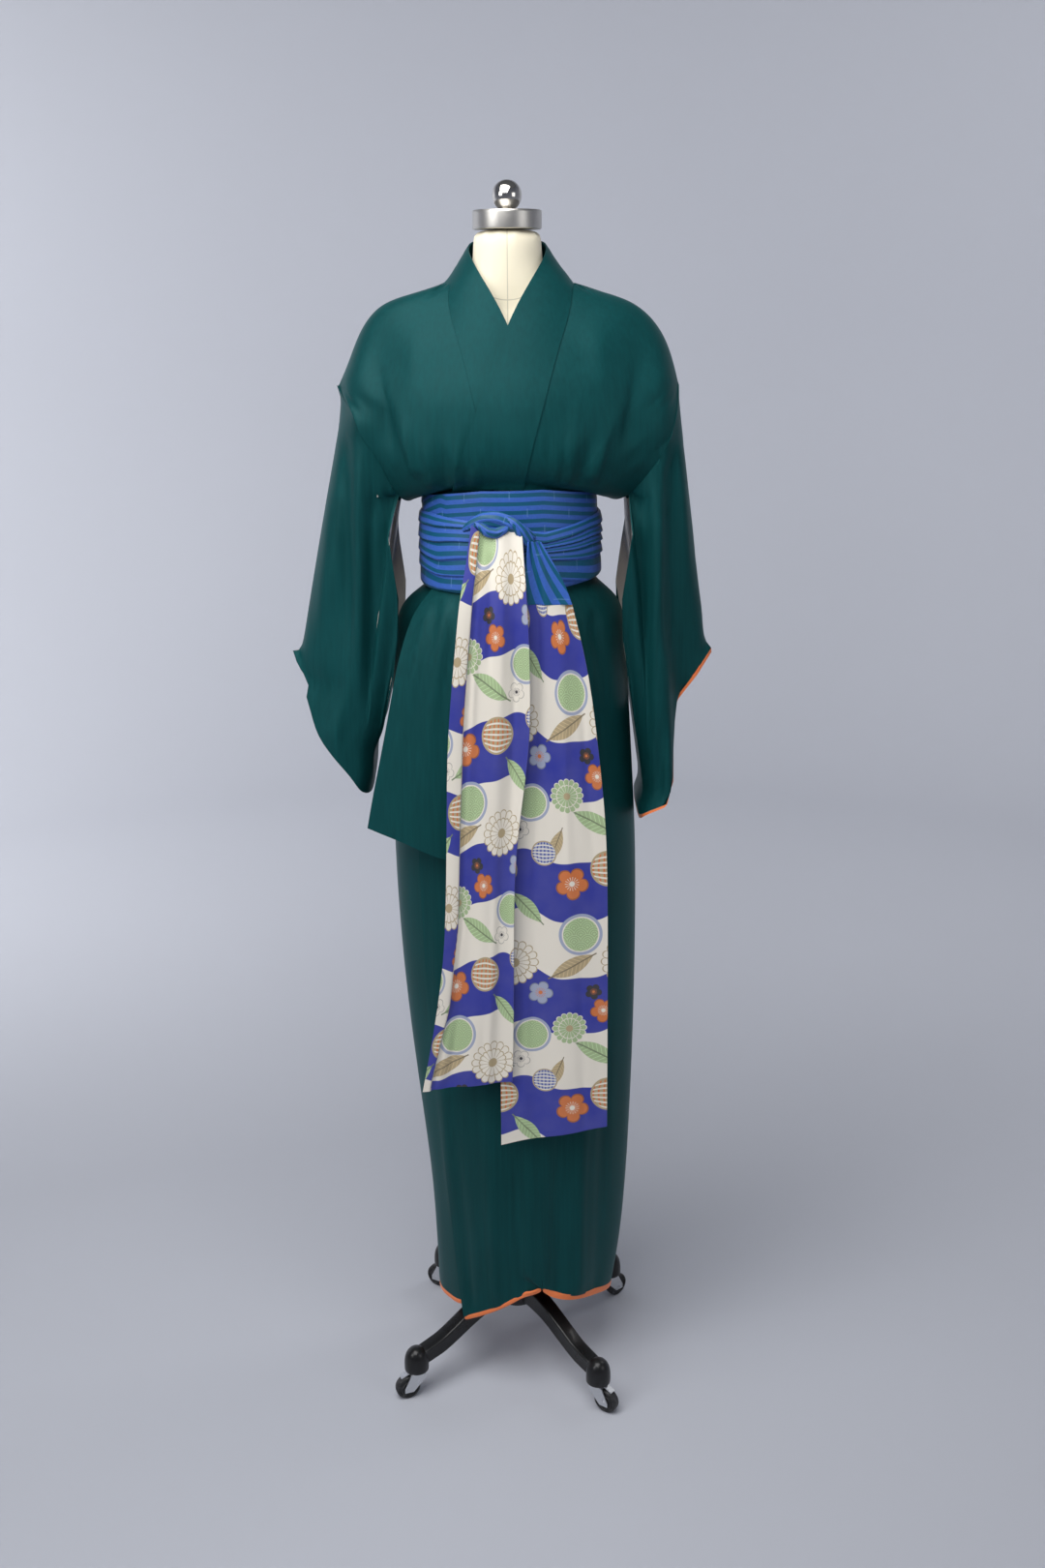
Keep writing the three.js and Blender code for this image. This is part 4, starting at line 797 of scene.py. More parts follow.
def smooth_shell(name, node, levels=2, relax=3, away=None):
    """A fine smooth wall in the shape of a solid, with its free edges kept.

    With away, a rule for which way is out, its inner side gets the second material.
    """
    form = bmesh.new()
    form.from_mesh(frame["nodes"][node].data)
    bmesh.ops.remove_doubles(form, verts=form.verts, dist=WELD)
    bmesh.ops.join_triangles(
        form, faces=form.faces, angle_face_threshold=math.radians(40),
        angle_shape_threshold=math.radians(80),
    )
    bmesh.ops.recalc_face_normals(form, faces=form.faces)
    crease = form.edges.layers.float.new("crease_edge")
    thin = {face for face in form.faces
            if face.calc_area() < THIN_RIM * max(edge.calc_length() for edge in face.edges)}
    for edge in form.edges:
        steep = edge.calc_face_angle(0) > math.radians(CREASE_ANGLE)
        if steep and thin.intersection(edge.link_faces):
            edge[crease] = 1
    if away:
        mark_inner_side(form, away)
    mesh = bpy.data.meshes.new(name)
    form.to_mesh(mesh)
    form.free()
    obj = show(bpy.data.objects.new(name, mesh))
    rounding = obj.modifiers.new("Rounding", "SUBSURF")
    rounding.levels = rounding.render_levels = levels
    graph = bpy.context.evaluated_depsgraph_get()
    obj.data = bpy.data.meshes.new_from_object(obj.evaluated_get(graph))
    obj.modifiers.clear()
    bpy.data.meshes.remove(mesh)
    obj.data.name = name
    form = bmesh.new()
    form.from_mesh(obj.data)
    loose = [v for v in form.verts
             if all(e.calc_face_angle(0) < math.radians(LOOSE_ANGLE) for e in v.link_edges)]
    for _step in range(relax):
        bmesh.ops.smooth_vert(
            form, verts=loose, factor=0.5, use_axis_x=True, use_axis_y=True, use_axis_z=True
        )
    form.to_mesh(obj.data)
    form.free()
    shade_smooth(obj.data, SHARP_ANGLE)
    return obj


def read_points(mesh):
    """The points of a mesh as an array."""
    points = np.empty((len(mesh.vertices), 3))
    mesh.vertices.foreach_get("co", points.reshape(-1))
    return points


def write_points(mesh, points):
    """Moves the points of a mesh."""
    mesh.vertices.foreach_set("co", points.reshape(-1))
    mesh.update()


def soft_step(value, low, high):
    """0 below low, 1 above high, and smooth between."""
    part = np.clip((value - low) / (high - low), 0, 1)
    return part * part * (3 - 2 * part)


def fold_height(x, z, folds):
    """How far out the folds stand at x and z, all in millimetres."""
    total = np.zeros_like(x)
    for x0, z0, x1, z1, width, rise, fade_start, fade_end in folds:
        dx, dz = x1 - x0, z1 - z0
        size = dx * dx + dz * dz
        part = ((x - x0) * dx + (z - z0) * dz) / size
        held = np.clip(part, 0, 1)
        far = np.hypot(x - x0 - held * dx, z - z0 - held * dz)
        ends = soft_step(part, -0.02, fade_start + 0.001) if fade_start else 1.0
        tail = 1 - soft_step(part, 1 - fade_end, 1.02) if fade_end else 1.0
        wander = 1 + 0.25 * np.sin(part * 9 + x0 * 0.3)
        total += rise * ends * tail * np.exp(-((far / (FOLD_WIDTH * width * wander)) ** 2))
    return total


def unevenness(points, scale, seed):
    """Gentle lumps from -1 to 1, the same each time."""
    offset = Vector((seed, seed * 0.37, seed * 0.61))
    return np.array([noise.noise(Vector(p) * scale + offset) for p in points])


def tree_of(points):
    """A search tree of points."""
    tree = kdtree.KDTree(len(points))
    for number, place in enumerate(points):
        tree.insert(place, number)
    tree.balance()
    return tree


def clear_of(points, nodes):
    """0 where the points are close to other solids and 1 where they are well away."""
    tree = tree_of(np.concatenate([read_points(frame["nodes"][node].data) for node in nodes]))
    far = np.array([tree.find(place)[2] for place in points]) / MM
    return soft_step(far, *CLEAR_RANGE)


def rim(mesh):
    """Numbers of the points along the sharp edges of a wall."""
    sharp = np.empty(len(mesh.edges), dtype=bool)
    ends = np.empty(len(mesh.edges) * 2, dtype=np.int32)
    mesh.edges.foreach_get("use_edge_sharp", sharp)
    mesh.edges.foreach_get("vertices", ends)
    return np.unique(ends.reshape(-1, 2)[sharp])


def sew(piece, node, reach, gap=5, near_by=12, far_off=26):
    """Brings the edges of a piece to its seams with the pieces it is sewn to.

    All in millimetres: points of a seam lie within gap of the solid, an edge moves all
    the way within near_by of the seam and not at all past far_off, and the cloth follows
    its edge over a distance of about reach.
    """
    solid = frame["nodes"][node].data
    close = BVHTree.FromPolygons(
        [v.co for v in solid.vertices], [f.vertices for f in solid.polygons]
    )
    seam = []
    for other in SEAMS[node]:
        mesh = bpy.data.objects[other].data
        for place in read_points(mesh)[rim(mesh)]:
            if close.find_nearest(Vector(place), gap * MM)[0] is not None:
                seam.append(place)
    if not seam:
        return
    seam_tree = tree_of(seam)
    points = read_points(piece.data)
    edge = rim(piece.data)
    for neighbours in (8, 3):
        own = points[edge]
        own_tree = tree_of(own)
        moves = []
        for place in own:
            target, _number, far = seam_tree.find(place)
            moves.append((np.array(target) - place) * (1 - soft_step(far / MM, near_by, far_off)))
        moves = np.array(moves)
        groups = [[n for _c, n, _d in own_tree.find_n(place, neighbours)] for place in own]
        moves = np.array([moves[group].mean(0) for group in groups])
        for number, place in enumerate(points):
            if own_tree.find(place)[2] < 2.2 * reach * MM:
                near = own_tree.find_n(place, 4)
                weights = np.array([1 / (d + 0.0003) for _c, _n, d in near])
                shift = (moves[[n for _c, n, _d in near]] * weights[:, None]).sum(0)
                fade = math.exp(-((near[0][2] / MM / reach) ** 2))
                points[number] = place + shift / weights.sum() * fade
    write_points(piece.data, points)
    for face in piece.data.polygons:
        at_seam = seam_tree.find(face.center)[2] < SEAM_COVER * MM
        on_sleeve = abs(face.center.x - AXIS[0]) > SLEEVE_START
        if at_seam or on_sleeve and own_tree.find(face.center)[2] < RIM_COVER * MM:
            face.material_index = 0


def places(obj):
    """The points of an object, and their x, y and z in millimetres from the pole."""
    points = read_points(obj.data)
    return points, *((points - (*AXIS, 0.0)) / MM).T


def press(obj, height, directions):
    """Moves both faces of a cloth together along directions, by millimetres."""
    points = read_points(obj.data)
    write_points(obj.data, points + directions * (height * MM)[:, None])


def outward(points):
    """Level directions away from the pole."""
    away = (points - (*AXIS, 0.0)) * (1, 1, 0)
    return away / np.maximum(np.linalg.norm(away, axis=1), 1e-6)[:, None]


def facing(points):
    """Level directions to the front or the back."""
    y = np.where(points[:, 1] < AXIS[1], -1.0, 1.0)
    return np.stack([np.zeros_like(y), y, np.zeros_like(y)], 1)


def forwards(points):
    """The direction to the front, for each point."""
    return np.tile((0.0, -1.0, 0.0), (len(points), 1))


def write_cloth(obj, along, across):
    """Keeps where each point lies on the flat cloth."""
    layer = obj.data.attributes.new("cloth", "FLOAT_VECTOR", "POINT")
    values = np.stack([along, across, np.zeros_like(across)], 1)
    layer.data.foreach_set("vector", values.astype(np.float32).reshape(-1))


def dress(obj, node, materials, body=STAND):
    """Materials, body and replaced solid of a piece."""
    for material in materials:
        obj.data.materials.append(material)
    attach(obj, body)
    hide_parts(node)
    node in CUTS


def skin(name, points, rings, closed=False, sharp=None):
    """An object with faces between rings of point numbers; a ring may be one point."""
    faces = []
    for low, high in zip(rings, [*rings[1:], rings[0]] if closed else rings[1:]):
        count = max(len(low), len(high))
        for k in range(count):
            n = (k + 1) % count
            corners = (low[k % len(low)], low[n % len(low)],
                       high[n % len(high)], high[k % len(high)])
            faces.append(tuple(dict.fromkeys(corners)))
    mesh = bpy.data.meshes.new(name)
    mesh.from_pydata([tuple(p) for p in points], [], faces)
    form = bmesh.new()
    form.from_mesh(mesh)
    bmesh.ops.recalc_face_normals(form, faces=form.faces)
    form.to_mesh(mesh)
    form.free()
    shade_smooth(mesh, sharp)
    return show(bpy.data.objects.new(name, mesh))


def roll(name, grid, sharp=None):
    """A closed body from a grid of points, ring by ring, with a point at each end."""
    rows, columns = grid.shape[:2]
    numbers = np.arange(rows * columns).reshape(rows, columns).tolist()
    points = [*grid.reshape(-1, 3), grid[0].mean(0), grid[-1].mean(0)]
    first, last = rows * columns, rows * columns + 1
    return skin(name, points, [[first], *numbers, [last]], sharp=sharp)


def turned(name, profile, segments=64, place=(*AXIS, 0), axis=(0, 0, 1), closed=False):
    """A round piece from a profile of (radius, height) in millimetres."""
    turn = Vector((0, 0, 1)).rotation_difference(Vector(axis)).to_matrix().to_4x4()
    put = Matrix.Translation(place) @ turn
    points, rings = [], []
    for radius, height in profile:
        count = segments if radius else 1
        rings.append(range(len(points), len(points) + count))
        for k in range(count):
            angle = 2 * math.pi * k / segments
            side = radius * MM * math.cos(angle), radius * MM * math.sin(angle)
            points.append(put @ Vector((*side, height * MM)))
    return skin(name, points, rings, closed, 38)


def eased(values, steps):
    """Values with the kinks smoothed out and both ends kept."""
    for _step in range(steps):
        values[1:-1] = (values[:-2] + 2 * values[1:-1] + values[2:]) / 4
    return values


# ------------------------------------------------------------------ robe
def drape_body(obj):
    """Presses the folds of the robe's body, which die away under the sash."""
    points, x, y, z = places(obj)
    blend = soft_step(-y, -12, 12)
    front, back = (fold_height(x, z, folds) for folds in (FRONT_FOLDS, BACK_FOLDS))
    height = BODY_FOLD_RISE * (front * blend + back * (1 - blend))
    height += 0.9 * unevenness(points, 9.0, 3.1) * soft_step(np.abs(y), 5, 40)
    clear = 1 - soft_step(z, *SASH_LOW_EDGE) * (1 - soft_step(z, *SASH_HIGH_EDGE))
    clear *= clear_of(points, ("sleeve_left", "sleeve_right"))
    press(obj, height * clear, outward(points))


class KimonoPiece:
    """Shared parts of the operators that add a piece."""

    bl_options = {"REGISTER", "UNDO"}


class KIMONO_OT_body(KimonoPiece, bpy.types.Operator):
    """Add the front, overlap and back panels of the robe"""

    bl_idname = "kimono.body"
    bl_label = "Body Panels"

    def execute(self, context):
        robe = context.scene.kimono_robe
        materials = [robe_silk(robe), body_lining(robe)]
        for node in (part + side for part in ("front", "overlap", "back") for side in SIDES):
            piece = smooth_shell("robe_" + node, node, away=outward)
            drape_body(piece)
            self.lower_hem(piece)
            sew(piece, node, 18, 12.5, 30, 46)
            dress(piece, node, materials)
        return {"FINISHED"}

    def lower_hem(self, piece):
        """Lets the silk hang a little over the lining that rolls out at the hem."""
        points = read_points(piece.data)
        low = 1 - soft_step(points[:, 2] / MM, 200, 320)
        points += outward(points) * (0.5 * MM * low)[:, None]
        points[:, 2] -= 3.0 * MM * low
        write_points(piece.data, points)


class KIMONO_OT_collar(KimonoPiece, bpy.types.Operator):
    """Add the two halves of the collar band"""

    bl_idname = "kimono.collar"
    bl_label = "Collar Band"

    def execute(self, context):
        materials = [robe_silk(context.scene.kimono_robe)]
        for node in ("collar" + side for side in SIDES):
            piece = smooth_shell(node + "_band", node, relax=1)
            drape_body(piece)
            dress(piece, node, materials)
        return {"FINISHED"}


def shape_cuff(piece):
    """Rounds the low corners of the sleeves and lets the right one swell under its cuff."""
    points, x, _y, z = places(piece)
    edge = np.interp(z, (946, 1136), (182, 288))
    swell = 14 * np.exp(-(((z - 1036) / 40) ** 2)) - 8 * np.exp(-(((z - 1108) / 14) ** 2))
    right = -swell * soft_step(-x, edge - 62, edge - 6)
    left = -24 * (1 - soft_step(z, 918, 968)) ** 1.5 * soft_step(x, 168, 214)
    points[:, 0] += np.where(x < 0, right, left) * MM
    write_points(piece.data, points)


class KIMONO_OT_sleeves(KimonoPiece, bpy.types.Operator):
    """Add the two wide hanging sleeves"""

    bl_idname = "kimono.sleeves"
    bl_label = "Sleeves"

    def execute(self, context):
        robe = context.scene.kimono_robe
        materials = [robe_silk(robe), plain_silk("sleeve_lining", robe.lining)]
        for side, front_folds, back_folds in (
            ("_left", SLEEVE_LEFT_FRONT, SLEEVE_LEFT_BACK),
            ("_right", SLEEVE_RIGHT_FRONT, SLEEVE_RIGHT_BACK),
        ):
            node = "sleeve" + side
            piece = smooth_shell("robe_" + node, node, relax=2, away=facing)
            points, x, y, z = places(piece)
            front, back = (fold_height(np.abs(x), z, t) for t in (front_folds, back_folds))
            depth = np.abs(y)
            height = SLEEVE_FOLD_RISE * np.where(y < 0, front, back) * soft_step(depth, 4, 26)
            height += unevenness(points, 8.0, 5.7) * soft_step(depth, 4, 30)
            height *= 1 - soft_step(z, 1440, 1490)
            height *= clear_of(points, ("front" + side, "back" + side))
            press(piece, np.maximum(height, DEEPEST_SLEEVE_FOLD), facing(points))
            shape_cuff(piece)
            sew(piece, node, 45)
            dress(piece, node, materials)
        return {"FINISHED"}


class KIMONO_OT_overfold(KimonoPiece, bpy.types.Operator):
    """Add the fold of the robe's length that hangs below the sash"""

    bl_idname = "kimono.overfold"
    bl_label = "Front Overfold"

    def execute(self, context):
        robe = context.scene.kimono_robe
        piece = smooth_shell("robe_front_overfold", "front_overfold", away=outward)
        points, x, _y, z = places(piece)
        height = fold_height(x, z, OVERFOLD_FOLDS) + 0.6 * unevenness(points, 10.0, 1.4)
        height *= 1 - soft_step(z, 1222, 1240)
        press(piece, height, outward(points))
        materials = [robe_silk(robe), plain_silk("overfold_lining", robe.lining)]
        dress(piece, "front_overfold", materials)
        return {"FINISHED"}


class KIMONO_OT_linings(KimonoPiece, bpy.types.Operator):
    """Add the lining that rolls out along the hem and the left cuff"""

    bl_idname = "kimono.linings"
    bl_label = "Hem and Cuff Linings"

    def execute(self, context):
        material = plain_silk("hem_silk", context.scene.kimono_robe.hem)
        for node in frame["nodes"]:
            if "lining" not in node:
                continue
            piece = smooth_shell(node + "_silk", node, relax=1)
            place, panel = node.split("_lining_")
            if place == "hem":
                drape_body(piece)
            else:
                shape_cuff(piece)
                panel = "sleeve_" + panel
            dress(piece, node, [material])
        return {"FINISHED"}


# ------------------------------------------------------------------ sash
def waist_points(angle, height, offset):
    """Points round the waist at angles in degrees, heights and an offset in millimetres."""
    turn = np.radians(angle)
    depth = np.where(np.cos(turn) > 0, WAIST_FRONT, WAIST_BACK) + offset
    x = (WAIST_WIDTH + offset) * np.sin(turn)
    return np.stack([x * MM + AXIS[0], -depth * np.cos(turn) * MM + AXIS[1], height * MM], -1)


def wrap(node, material, angle, height, outer, inner, along, across):
    """A wrap of the sash round the waist, between the offsets of its two sides."""
    rows, columns = angle.shape
    points = [waist_points(angle, height, offset) for offset in (outer, inner)]
    numbers = np.arange(2 * rows * columns).reshape(2 * rows, columns)
    rings = [*numbers[:rows].tolist(), *numbers[rows:][::-1].tolist()]
    piece = skin(node + "_cloth", np.concatenate(points).reshape(-1, 3), rings, True, 50)
    write_cloth(piece, *(np.tile(part.reshape(-1), 2) for part in (along, across)))
    dress(piece, node, [material])


def waist_grid(columns, rows):
    """Angles and shares of the height, rows by columns."""
    angles = np.linspace(-180, 180, columns, endpoint=False)
    return np.meshgrid(angles, np.linspace(0, 1, rows))


class KIMONO_OT_sash_wraps(KimonoPiece, bpy.types.Operator):
    """Add the flat upper wrap and the pleated lower wrap of the sash"""

    bl_idname = "kimono.sash_wraps"
    bl_label = "Sash Wraps"

    def execute(self, context):
        material = striped_silk(context.scene.kimono_sash)
        self.upper(material)
        self.lower(material)
        return {"FINISHED"}

    def upper(self, material):
        """The flat wrap, with a diagonal turn of the cloth near the wearer's right side."""
        angle, part = waist_grid(220, 26)
        low = np.interp(angle, BELT_ANGLES, BELT_WRAP_TOP) - UPPER_WRAP_TUCK
        high = np.interp(angle, BELT_ANGLES, BELT_TOP)
        height = low + (high - low) * part
        line = 1346 + (angle + 92) * 0.62
        turned_over = soft_step(height, line - 0.8, line + 0.8) * soft_step(angle, -100, -92)
        turned_over *= 1 - soft_step(angle, -46, -42)
        ripple = 0.35 * np.sin(np.radians(angle) * 5 + part * 3)
        rounded = -1.2 * (2 * np.abs(part - 0.5)) ** 6
        outer = UPPER_WRAP_BASE + UPPER_WRAP_THICK + ripple + rounded + 0.9 * turned_over
        inner = UPPER_WRAP_BASE + ripple * 0.3
        slant = (1 - turned_over) * soft_step(angle, -112, -98) * (1 - soft_step(angle, -52, -44))
        across = ((high - height) * MM + turned_over * 0.004) * (1 - slant)
        across += (line - height) * MM * 0.9 * slant
        along = np.radians(angle) * 0.112
        wrap("sash_upper_wrap", material, angle, height, outer, inner, along, across)

    def lower(self, material):
        """The wrap that is folded into pleats, with the stripes running along them."""
        angle, part = waist_grid(300, 110)
        low = np.interp(angle, BELT_ANGLES, BELT_BOTTOM)
        high = np.interp(angle, BELT_ANGLES, BELT_WRAP_TOP)
        height = low + (high - low) * part
        wander = 0.012 * np.sin(np.radians(angle) * 7 + 4 * part)
        edges = [np.interp(angle, PLEAT_ANGLES, row) for row in PLEAT_LINES]
        edges.append(np.full_like(angle, 1.01))
        rise = np.zeros_like(part)
        across = np.zeros_like(part)
        for number, (start, end) in enumerate(zip(edges, edges[1:])):
            local = (part + wander * (1 - part) * part * 4 - start) / (end - start)
            inside = (local >= 0) & (local < 1)
            shape = soft_step(local, 0, 0.13) * np.clip(1 - local, 0, 1) ** 0.7
            rise = np.where(inside, shape, rise)
            across = np.where(inside, -(number + local) * PLEAT_SILK, across)
        deep = 3.0 - 1.0 * np.exp(-((angle - 12) / 30) ** 2) + 0.7 * np.sin(np.radians(angle) * 5)
        outer = LOWER_WRAP_BASE + deep * rise + 1.6 * np.sin(np.pi * part) ** 0.7
        inner = np.minimum(outer - LOWER_WRAP_THICK - 0.55 * deep * rise, LOWER_WRAP_INNER)
        outer -= 1.6 * soft_step(np.abs(part - 0.5), 0.46, 0.5)
        across += 0.0012 * np.sin(np.radians(angle) * 3)
        along = np.radians(angle) * 0.118
        wrap("sash_lower_wrap", material, angle, height, outer, inner, along, across)


class KIMONO_OT_sash_knot(KimonoPiece, bpy.types.Operator):
    """Add the twisted knot at the front of the sash"""

    bl_idname = "kimono.sash_knot"
    bl_label = "Sash Knot"

    def execute(self, context):
        material = striped_silk(context.scene.kimono_sash)
        for number, (path, grooves) in enumerate(KNOT_ROLLS, 1):
            name = "sash_knot_cloth_%d" % number
            piece = self.gathered(name, np.array(path, dtype=float), grooves)
            dress(piece, "sash_knot", [material])
        return {"FINISHED"}

    def gathered(self, name, path, grooves):
        """A gathered roll of cloth along a path of (x, y, z, half height, half depth)."""
        columns, rows = 96, 70
        part = np.linspace(0, 1, rows)
        stations = np.linspace(0, 1, len(path))
        line = eased(np.stack([np.interp(part, stations, path[:, k]) for k in range(5)], -1), 12)
        ahead = np.gradient(line[:, :3], axis=0)
        length = np.cumsum(np.linalg.norm(ahead, axis=1)) * MM
        ahead /= np.linalg.norm(ahead, axis=1)[:, None]
        front = np.array((0.0, -1.0, 0.0)) + ahead * ahead[:, 1:2]
        front /= np.linalg.norm(front, axis=1)[:, None]
        up = np.cross(front, ahead)
        turn = np.linspace(0, 2 * np.pi, columns, endpoint=False)[None, :]
        along = part[:, None]
        pleats = 1 - 0.13 * np.abs(np.sin(turn * grooves / 2 + 5 * along)) ** 0.7
        pleats -= 0.03 * np.sin(turn * 9 + 8 * along)
        high = (line[:, 3:4] * pleats * np.sin(turn))[..., None]
        deep = (line[:, 4:5] * pleats * np.cos(turn))[..., None]
        grid = line[:, None, :3] + up[:, None, :] * high + front[:, None, :] * deep
        piece = roll(name, grid * MM + (*AXIS, 0.0))
        across = (turn * line[:, 3:4] * MM * 0.9).reshape(-1)
        ends = (0, 0)
        write_cloth(piece, np.append(np.repeat(length, columns), ends), np.append(across, ends))
        return piece


class KIMONO_OT_sash_ends(KimonoPiece, bpy.types.Operator):
    """Add the two hanging ends of the sash"""

    bl_idname = "kimono.sash_ends"
    bl_label = "Sash Ends"

    def execute(self, context):
        sash = context.scene.kimono_sash
        striped = striped_silk(sash)
        for node, edges, folds, width, shift in (
            ("sash_end_left", TAIL_LEFT_EDGES, TAIL_LEFT_FOLDS, 0.136, (0.0, 0.02)),
            ("sash_end_right", TAIL_RIGHT_EDGES, TAIL_RIGHT_FOLDS, 0.152, (0.083, 0.13)),
        ):
            self.printed(node, edges, folds, width, [printed_silk(sash, shift), striped])
        self.striped_top(striped)
        return {"FINISHED"}

    def measure(self, edges, x, z):
        """Left edge, turned-in line and share of the width, at places on an end."""
        heights, *lines = zip(*edges)
        left, right, strip = (np.interp(z, heights, line) for line in lines)
        return left, strip, (x - left) / (right - left)

    def striped_top(self, material):
        """The short striped length over the right end, with two broad folds."""
        piece = smooth_shell("sash_end_right_striped", "sash_end_right_top", levels=3)
        points, x, _y, z = places(piece)
        _left, _strip, part = self.measure(TAIL_RIGHT_EDGES, x, z)
        pleat = sum(
            rise * np.exp(-(((part - middle) / width) ** 2))
            for rise, middle, width in ((3.0, 0.68, 0.2), (-2.6, 0.36, 0.09), (1.2, 0.14, 0.1))
        )
        press(piece, pleat * soft_step(1320 - z, 0, 30), facing(points))
        write_cloth(piece, points[:, 2], part * 0.032 + (z - 1240) * MM * 0.16)
        dress(piece, "sash_end_right_top", [material])

    def drape_top(self, piece, x, z):
        """Lifts the corners of the left end's top, so that it hangs in a curve."""
        rise = np.interp(x, (-50, -40, -22, -6, 8, 18), (15, 6, -5, 3, 9, 8))
        points = read_points(piece.data)
        points[:, 2] += rise * soft_step(z, 1282, 1322) * MM
        write_points(piece.data, points)

    def printed(self, node, edges, folds, width, materials):
        """One printed end, its side strip turned in and the print running with the cloth."""
        piece = smooth_shell(node + "_cloth", node, levels=4, away=forwards)
        points, x, _y, z = places(piece)
        left, strip, part = self.measure(edges, x, z)
        has_strip = strip > left + 1
        step = 2.4 * (1 - soft_step(x, strip - 1.5, strip + 1.5))
        step -= 1.6 * np.exp(-(((x - strip - 5) / 4) ** 2))
        height = fold_height(x, z, folds) + step * has_strip
        height += 0.3 * np.sin(z * 0.02 + x * 0.05) + 0.5 * unevenness(points, 12.0, 2.2)
        press(piece, height, facing(points))
        if node == "sash_end_left":
            self.drape_top(piece, x, z)
        turned_in = (x < strip) & has_strip
        across = np.where(turned_in, 0.11 - part * width, part * width)
        along = (z - edges[0][0]) * MM + np.where(turned_in, 0.107, 0.0)
        write_cloth(piece, along, across)
        dress(piece, node, materials)


# ------------------------------------------------------------------ form and stand
class KIMONO_OT_dress_form(KimonoPiece, bpy.types.Operator):
    """Add the padded form, its neck ring, its ball and the pole"""

    bl_idname = "kimono.dress_form"
    bl_label = "Dress Form"

    def execute(self, context):
        form = context.scene.kimono_form
        torso = smooth_shell("form_shell", "form_torso", relax=2)
        dress(torso, "form_torso", [canvas_cover(form)])
        brushed = turned_metal("brushed_ring", scaled(form.metal, 0.85), 0.36, True)
        polished = turned_metal("polished_ball", form.metal, 0.08, False)
        ball = [*BALL_STEM, *(
            (BALL_RADIUS * math.sin(angle), BALL_HEIGHT - BALL_RADIUS * math.cos(angle))
            for angle in map(math.radians, range(25, 180, 5))
        ), (0, BALL_HEIGHT + BALL_RADIUS)]
        for name, node, profile, segments, metal in (
            ("neck_ring", "neck_cap", RING_PROFILE, 128, brushed),
            ("neck_ball", "finial", ball, 96, polished),
            ("stand_pole", "pole", POLE_PROFILE, 64, polished),
        ):
            dress(turned(name, profile, segments), node, [metal])
        return {"FINISHED"}


class KIMONO_OT_rolling_base(KimonoPiece, bpy.types.Operator):
    """Add the cast hub, its four legs and their caps"""

    bl_idname = "kimono.rolling_base"
    bl_label = "Cast Base"

    def execute(self, context):
        iron = painted_iron(context.scene.kimono_form)
        dress(turned("base_hub", HUB_PROFILE, 72), "base_casting", [iron])
        for number, angle in enumerate(LEG_ANGLES, 1):
            leg = self.leg("base_leg_%d" % number, angle)
            dress(leg, "base_casting", [iron])
            reach = LEG_REACH * MM
            end = AXIS[0] + reach * math.cos(angle), AXIS[1] + reach * math.sin(angle), 0
            cap = turned("base_cap_%d" % number, CAP_PROFILE, 56, end)
            dress(cap, "base_casting", [iron])
        return {"FINISHED"}

    def leg(self, name, angle):
        """A leg with a rounded, slightly waisted section along its curved line."""
        table = np.array(LEG_LINE, dtype=float)
        reach = np.linspace(table[0, 0], table[-1, 0], 40)
        middle, depth = (
            eased(np.interp(reach, table[:, 0], table[:, k]), 3)[:, None] for k in (1, 2)
        )
        turn = np.linspace(0, 2 * np.pi, 28, endpoint=False)
        across, upright = (
            np.sign(side) * np.abs(side) ** LEG_SQUARENESS for side in (np.cos(turn), np.sin(turn))
        )
        across = across * LEG_HALF_WIDTH * (1 - LEG_WAIST * (1 - upright ** 2))
        reach = reach[:, None]
        c, s = math.cos(angle), math.sin(angle)
        grid = np.stack([
            (reach * c - across * s) * MM + AXIS[0],
            (reach * s + across * c) * MM + AXIS[1],
            (middle + upright * depth / 2) * MM,
        ], -1)
        return roll(name, grid, 60)


class KIMONO_OT_casters(KimonoPiece, bpy.types.Operator):
    """Add the four swivelling casters"""

    bl_idname = "kimono.casters"
    bl_label = "Casters"

    def execute(self, context):
        form = context.scene.kimono_form
        zinc = turned_metal("zinc_plate", form.zinc, 0.3, False)
        rubber = moulded_rubber(form)
        for number in range(1, 5):
            fork = frame["nodes"]["caster_fork_%d" % number]
            fork.data.materials.clear()
            fork.data.materials.append(zinc)
            rounding = fork.modifiers.new("Rounding", "BEVEL")
            rounding.width = 0.0004
            rounding.segments = 2
            rounding.limit_method = "ANGLE"
            rounding.angle_limit = math.radians(40)
            joint = next(j for j in frame["joints"] if j["name"] == "wheel_%d_roll" % number)
            wheel = turned(
                "caster_tyre_%d" % number, WHEEL_PROFILE, 64, joint["pos_m"], joint["axis"], True
            )
            node, body = "caster_wheel_%d" % number, "wheel_%d" % number
            dress(wheel, node, [rubber], body)
        return {"FINISHED"}


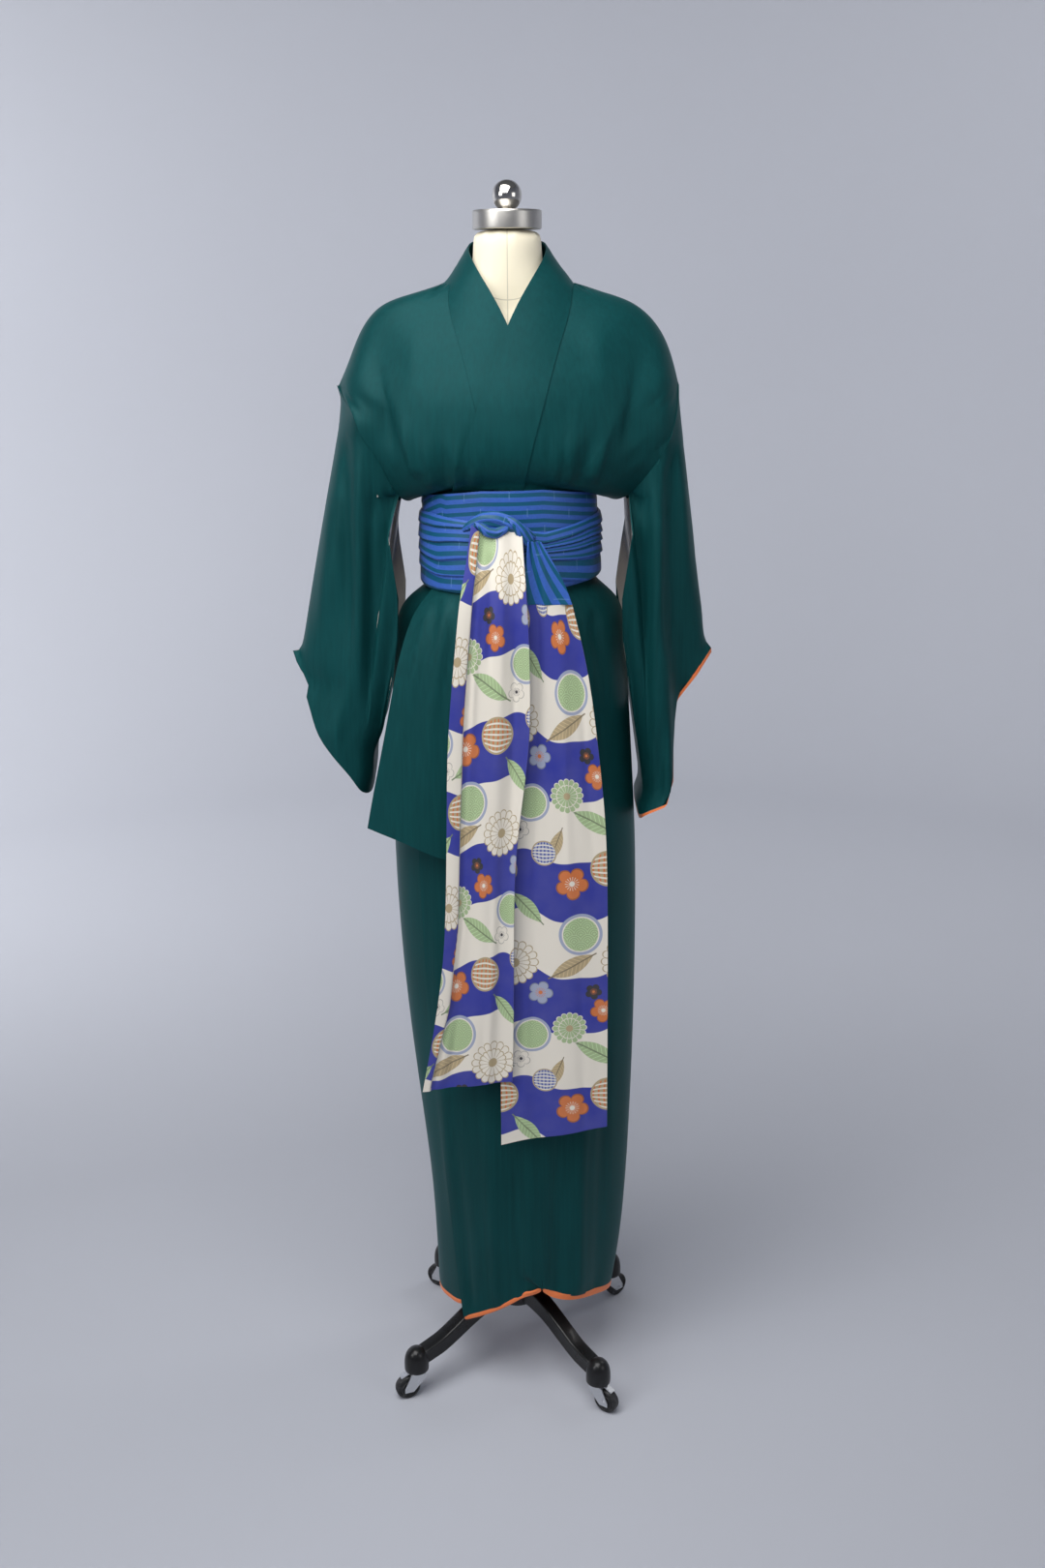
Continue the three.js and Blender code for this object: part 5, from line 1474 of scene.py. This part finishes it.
# ------------------------------------------------------------------ stage
class KIMONO_OT_stage(KimonoPiece, bpy.types.Operator):
    """Add the floor, the backdrop, the lights and the camera"""

    bl_idname = "kimono.stage"
    bl_label = "Stage"

    def execute(self, context):
        stage = context.scene.kimono_stage
        self.bowl(stage)
        for name, place, target, size, kind, times in LIGHTS:
            self.light(name, place, target, size, getattr(stage, kind) * times)
        world = bpy.data.worlds.new("soft_room")
        world.use_nodes = True
        background = world.node_tree.nodes["Background"]
        background.inputs["Color"].default_value = ROOM_COLOUR
        background.inputs["Strength"].default_value = ROOM_STRENGTH
        context.scene.world = world
        camera = bpy.data.objects.new("camera", bpy.data.cameras.new("camera"))
        camera.data.lens = stage.lens
        camera.data.sensor_width = SENSOR_WIDTH
        camera.location = (AXIS[0] + CAMERA_SIDE, AXIS[1] - stage.back, stage.height)
        camera.rotation_mode = "XYZ"
        look = Matrix.Rotation(math.radians(90) - stage.tilt, 4, "X")
        camera.rotation_euler = (look @ Matrix.Rotation(stage.roll, 4, "Z")).to_euler("XYZ")
        show(camera)
        context.scene.camera = camera
        context.scene.view_settings.view_transform = "Standard"
        return {"FINISHED"}

    def light(self, name, place, target, size, power):
        """A square soft light that looks at a target."""
        data = bpy.data.lights.new(name, "AREA")
        data.energy = power
        data.size = size
        lamp = show(bpy.data.objects.new(name, data))
        lamp.location = place
        lamp.rotation_euler = (Vector(target) - Vector(place)).to_track_quat("-Z", "Y").to_euler()

    def bowl(self, stage):
        """A round floor that curves up into a backdrop on every side."""
        line = [(FLOOR_LEVEL * k / 6, 0.0) for k in range(7)]
        for step in range(1, 25):
            angle = math.pi / 2 * step / 24
            line.append((FLOOR_LEVEL + FLOOR_BEND * math.sin(angle),
                         FLOOR_BEND - FLOOR_BEND * math.cos(angle)))
        line.append((FLOOR_LEVEL + FLOOR_BEND, BACKDROP_TOP))
        bowl = turned("floor", [(radius / MM, height / MM) for radius, height in line], 128)
        if min(bowl.data.polygons, key=lambda face: face.center.length).normal.z < 0:
            bowl.data.flip_normals()
        bowl.visible_shadow = False
        w = Weaver("backdrop_paper", specular_ior_level=0.2)
        cloud = w.speckle(0.7, 2)
        paper = w.finish(w.shades(cloud, stage.floor, 0.97, 1.03), (cloud - 0.5) * 0.1 + 0.75)
        bowl.data.materials.append(paper)
        return bowl


# ------------------------------------------------------------------ panel and registration
PIECES = (
    KIMONO_OT_dress_form,
    KIMONO_OT_rolling_base,
    KIMONO_OT_casters,
    KIMONO_OT_collar,
    KIMONO_OT_body,
    KIMONO_OT_sleeves,
    KIMONO_OT_overfold,
    KIMONO_OT_linings,
    KIMONO_OT_sash_wraps,
    KIMONO_OT_sash_knot,
    KIMONO_OT_sash_ends,
    KIMONO_OT_stage,
)
SETTINGS = {
    "kimono_robe": KimonoRobeSettings,
    "kimono_sash": KimonoSashSettings,
    "kimono_form": KimonoFormSettings,
    "kimono_stage": KimonoStageSettings,
}


class KIMONO_PT_pieces(bpy.types.Panel):
    """Lists the pieces and their settings"""

    bl_idname = "KIMONO_PT_pieces"
    bl_label = "Kimono Robe"
    bl_space_type = "VIEW_3D"
    bl_region_type = "UI"
    bl_category = "Kimono"

    def draw(self, context):
        column = self.layout.column(align=True)
        for piece in PIECES:
            column.operator(piece.bl_idname)
        for name, group in SETTINGS.items():
            box = self.layout.box()
            for prop in group.__annotations__:
                box.prop(getattr(context.scene, name), prop)


def register():
    for group in SETTINGS.values():
        bpy.utils.register_class(group)
    for piece in PIECES:
        bpy.utils.register_class(piece)
    bpy.utils.register_class(KIMONO_PT_pieces)
    for name, group in SETTINGS.items():
        setattr(bpy.types.Scene, name, PointerProperty(type=group))


def unregister():
    for name in SETTINGS:
        delattr(bpy.types.Scene, name)
    bpy.utils.unregister_class(KIMONO_PT_pieces)
    for piece in reversed(PIECES):
        bpy.utils.unregister_class(piece)
    for group in reversed(list(SETTINGS.values())):
        bpy.utils.unregister_class(group)


def main():
    register()
    for piece in PIECES:
        group, name = piece.bl_idname.split(".")
        getattr(getattr(bpy.ops, group), name)()


if __name__ == "__main__":
    main()
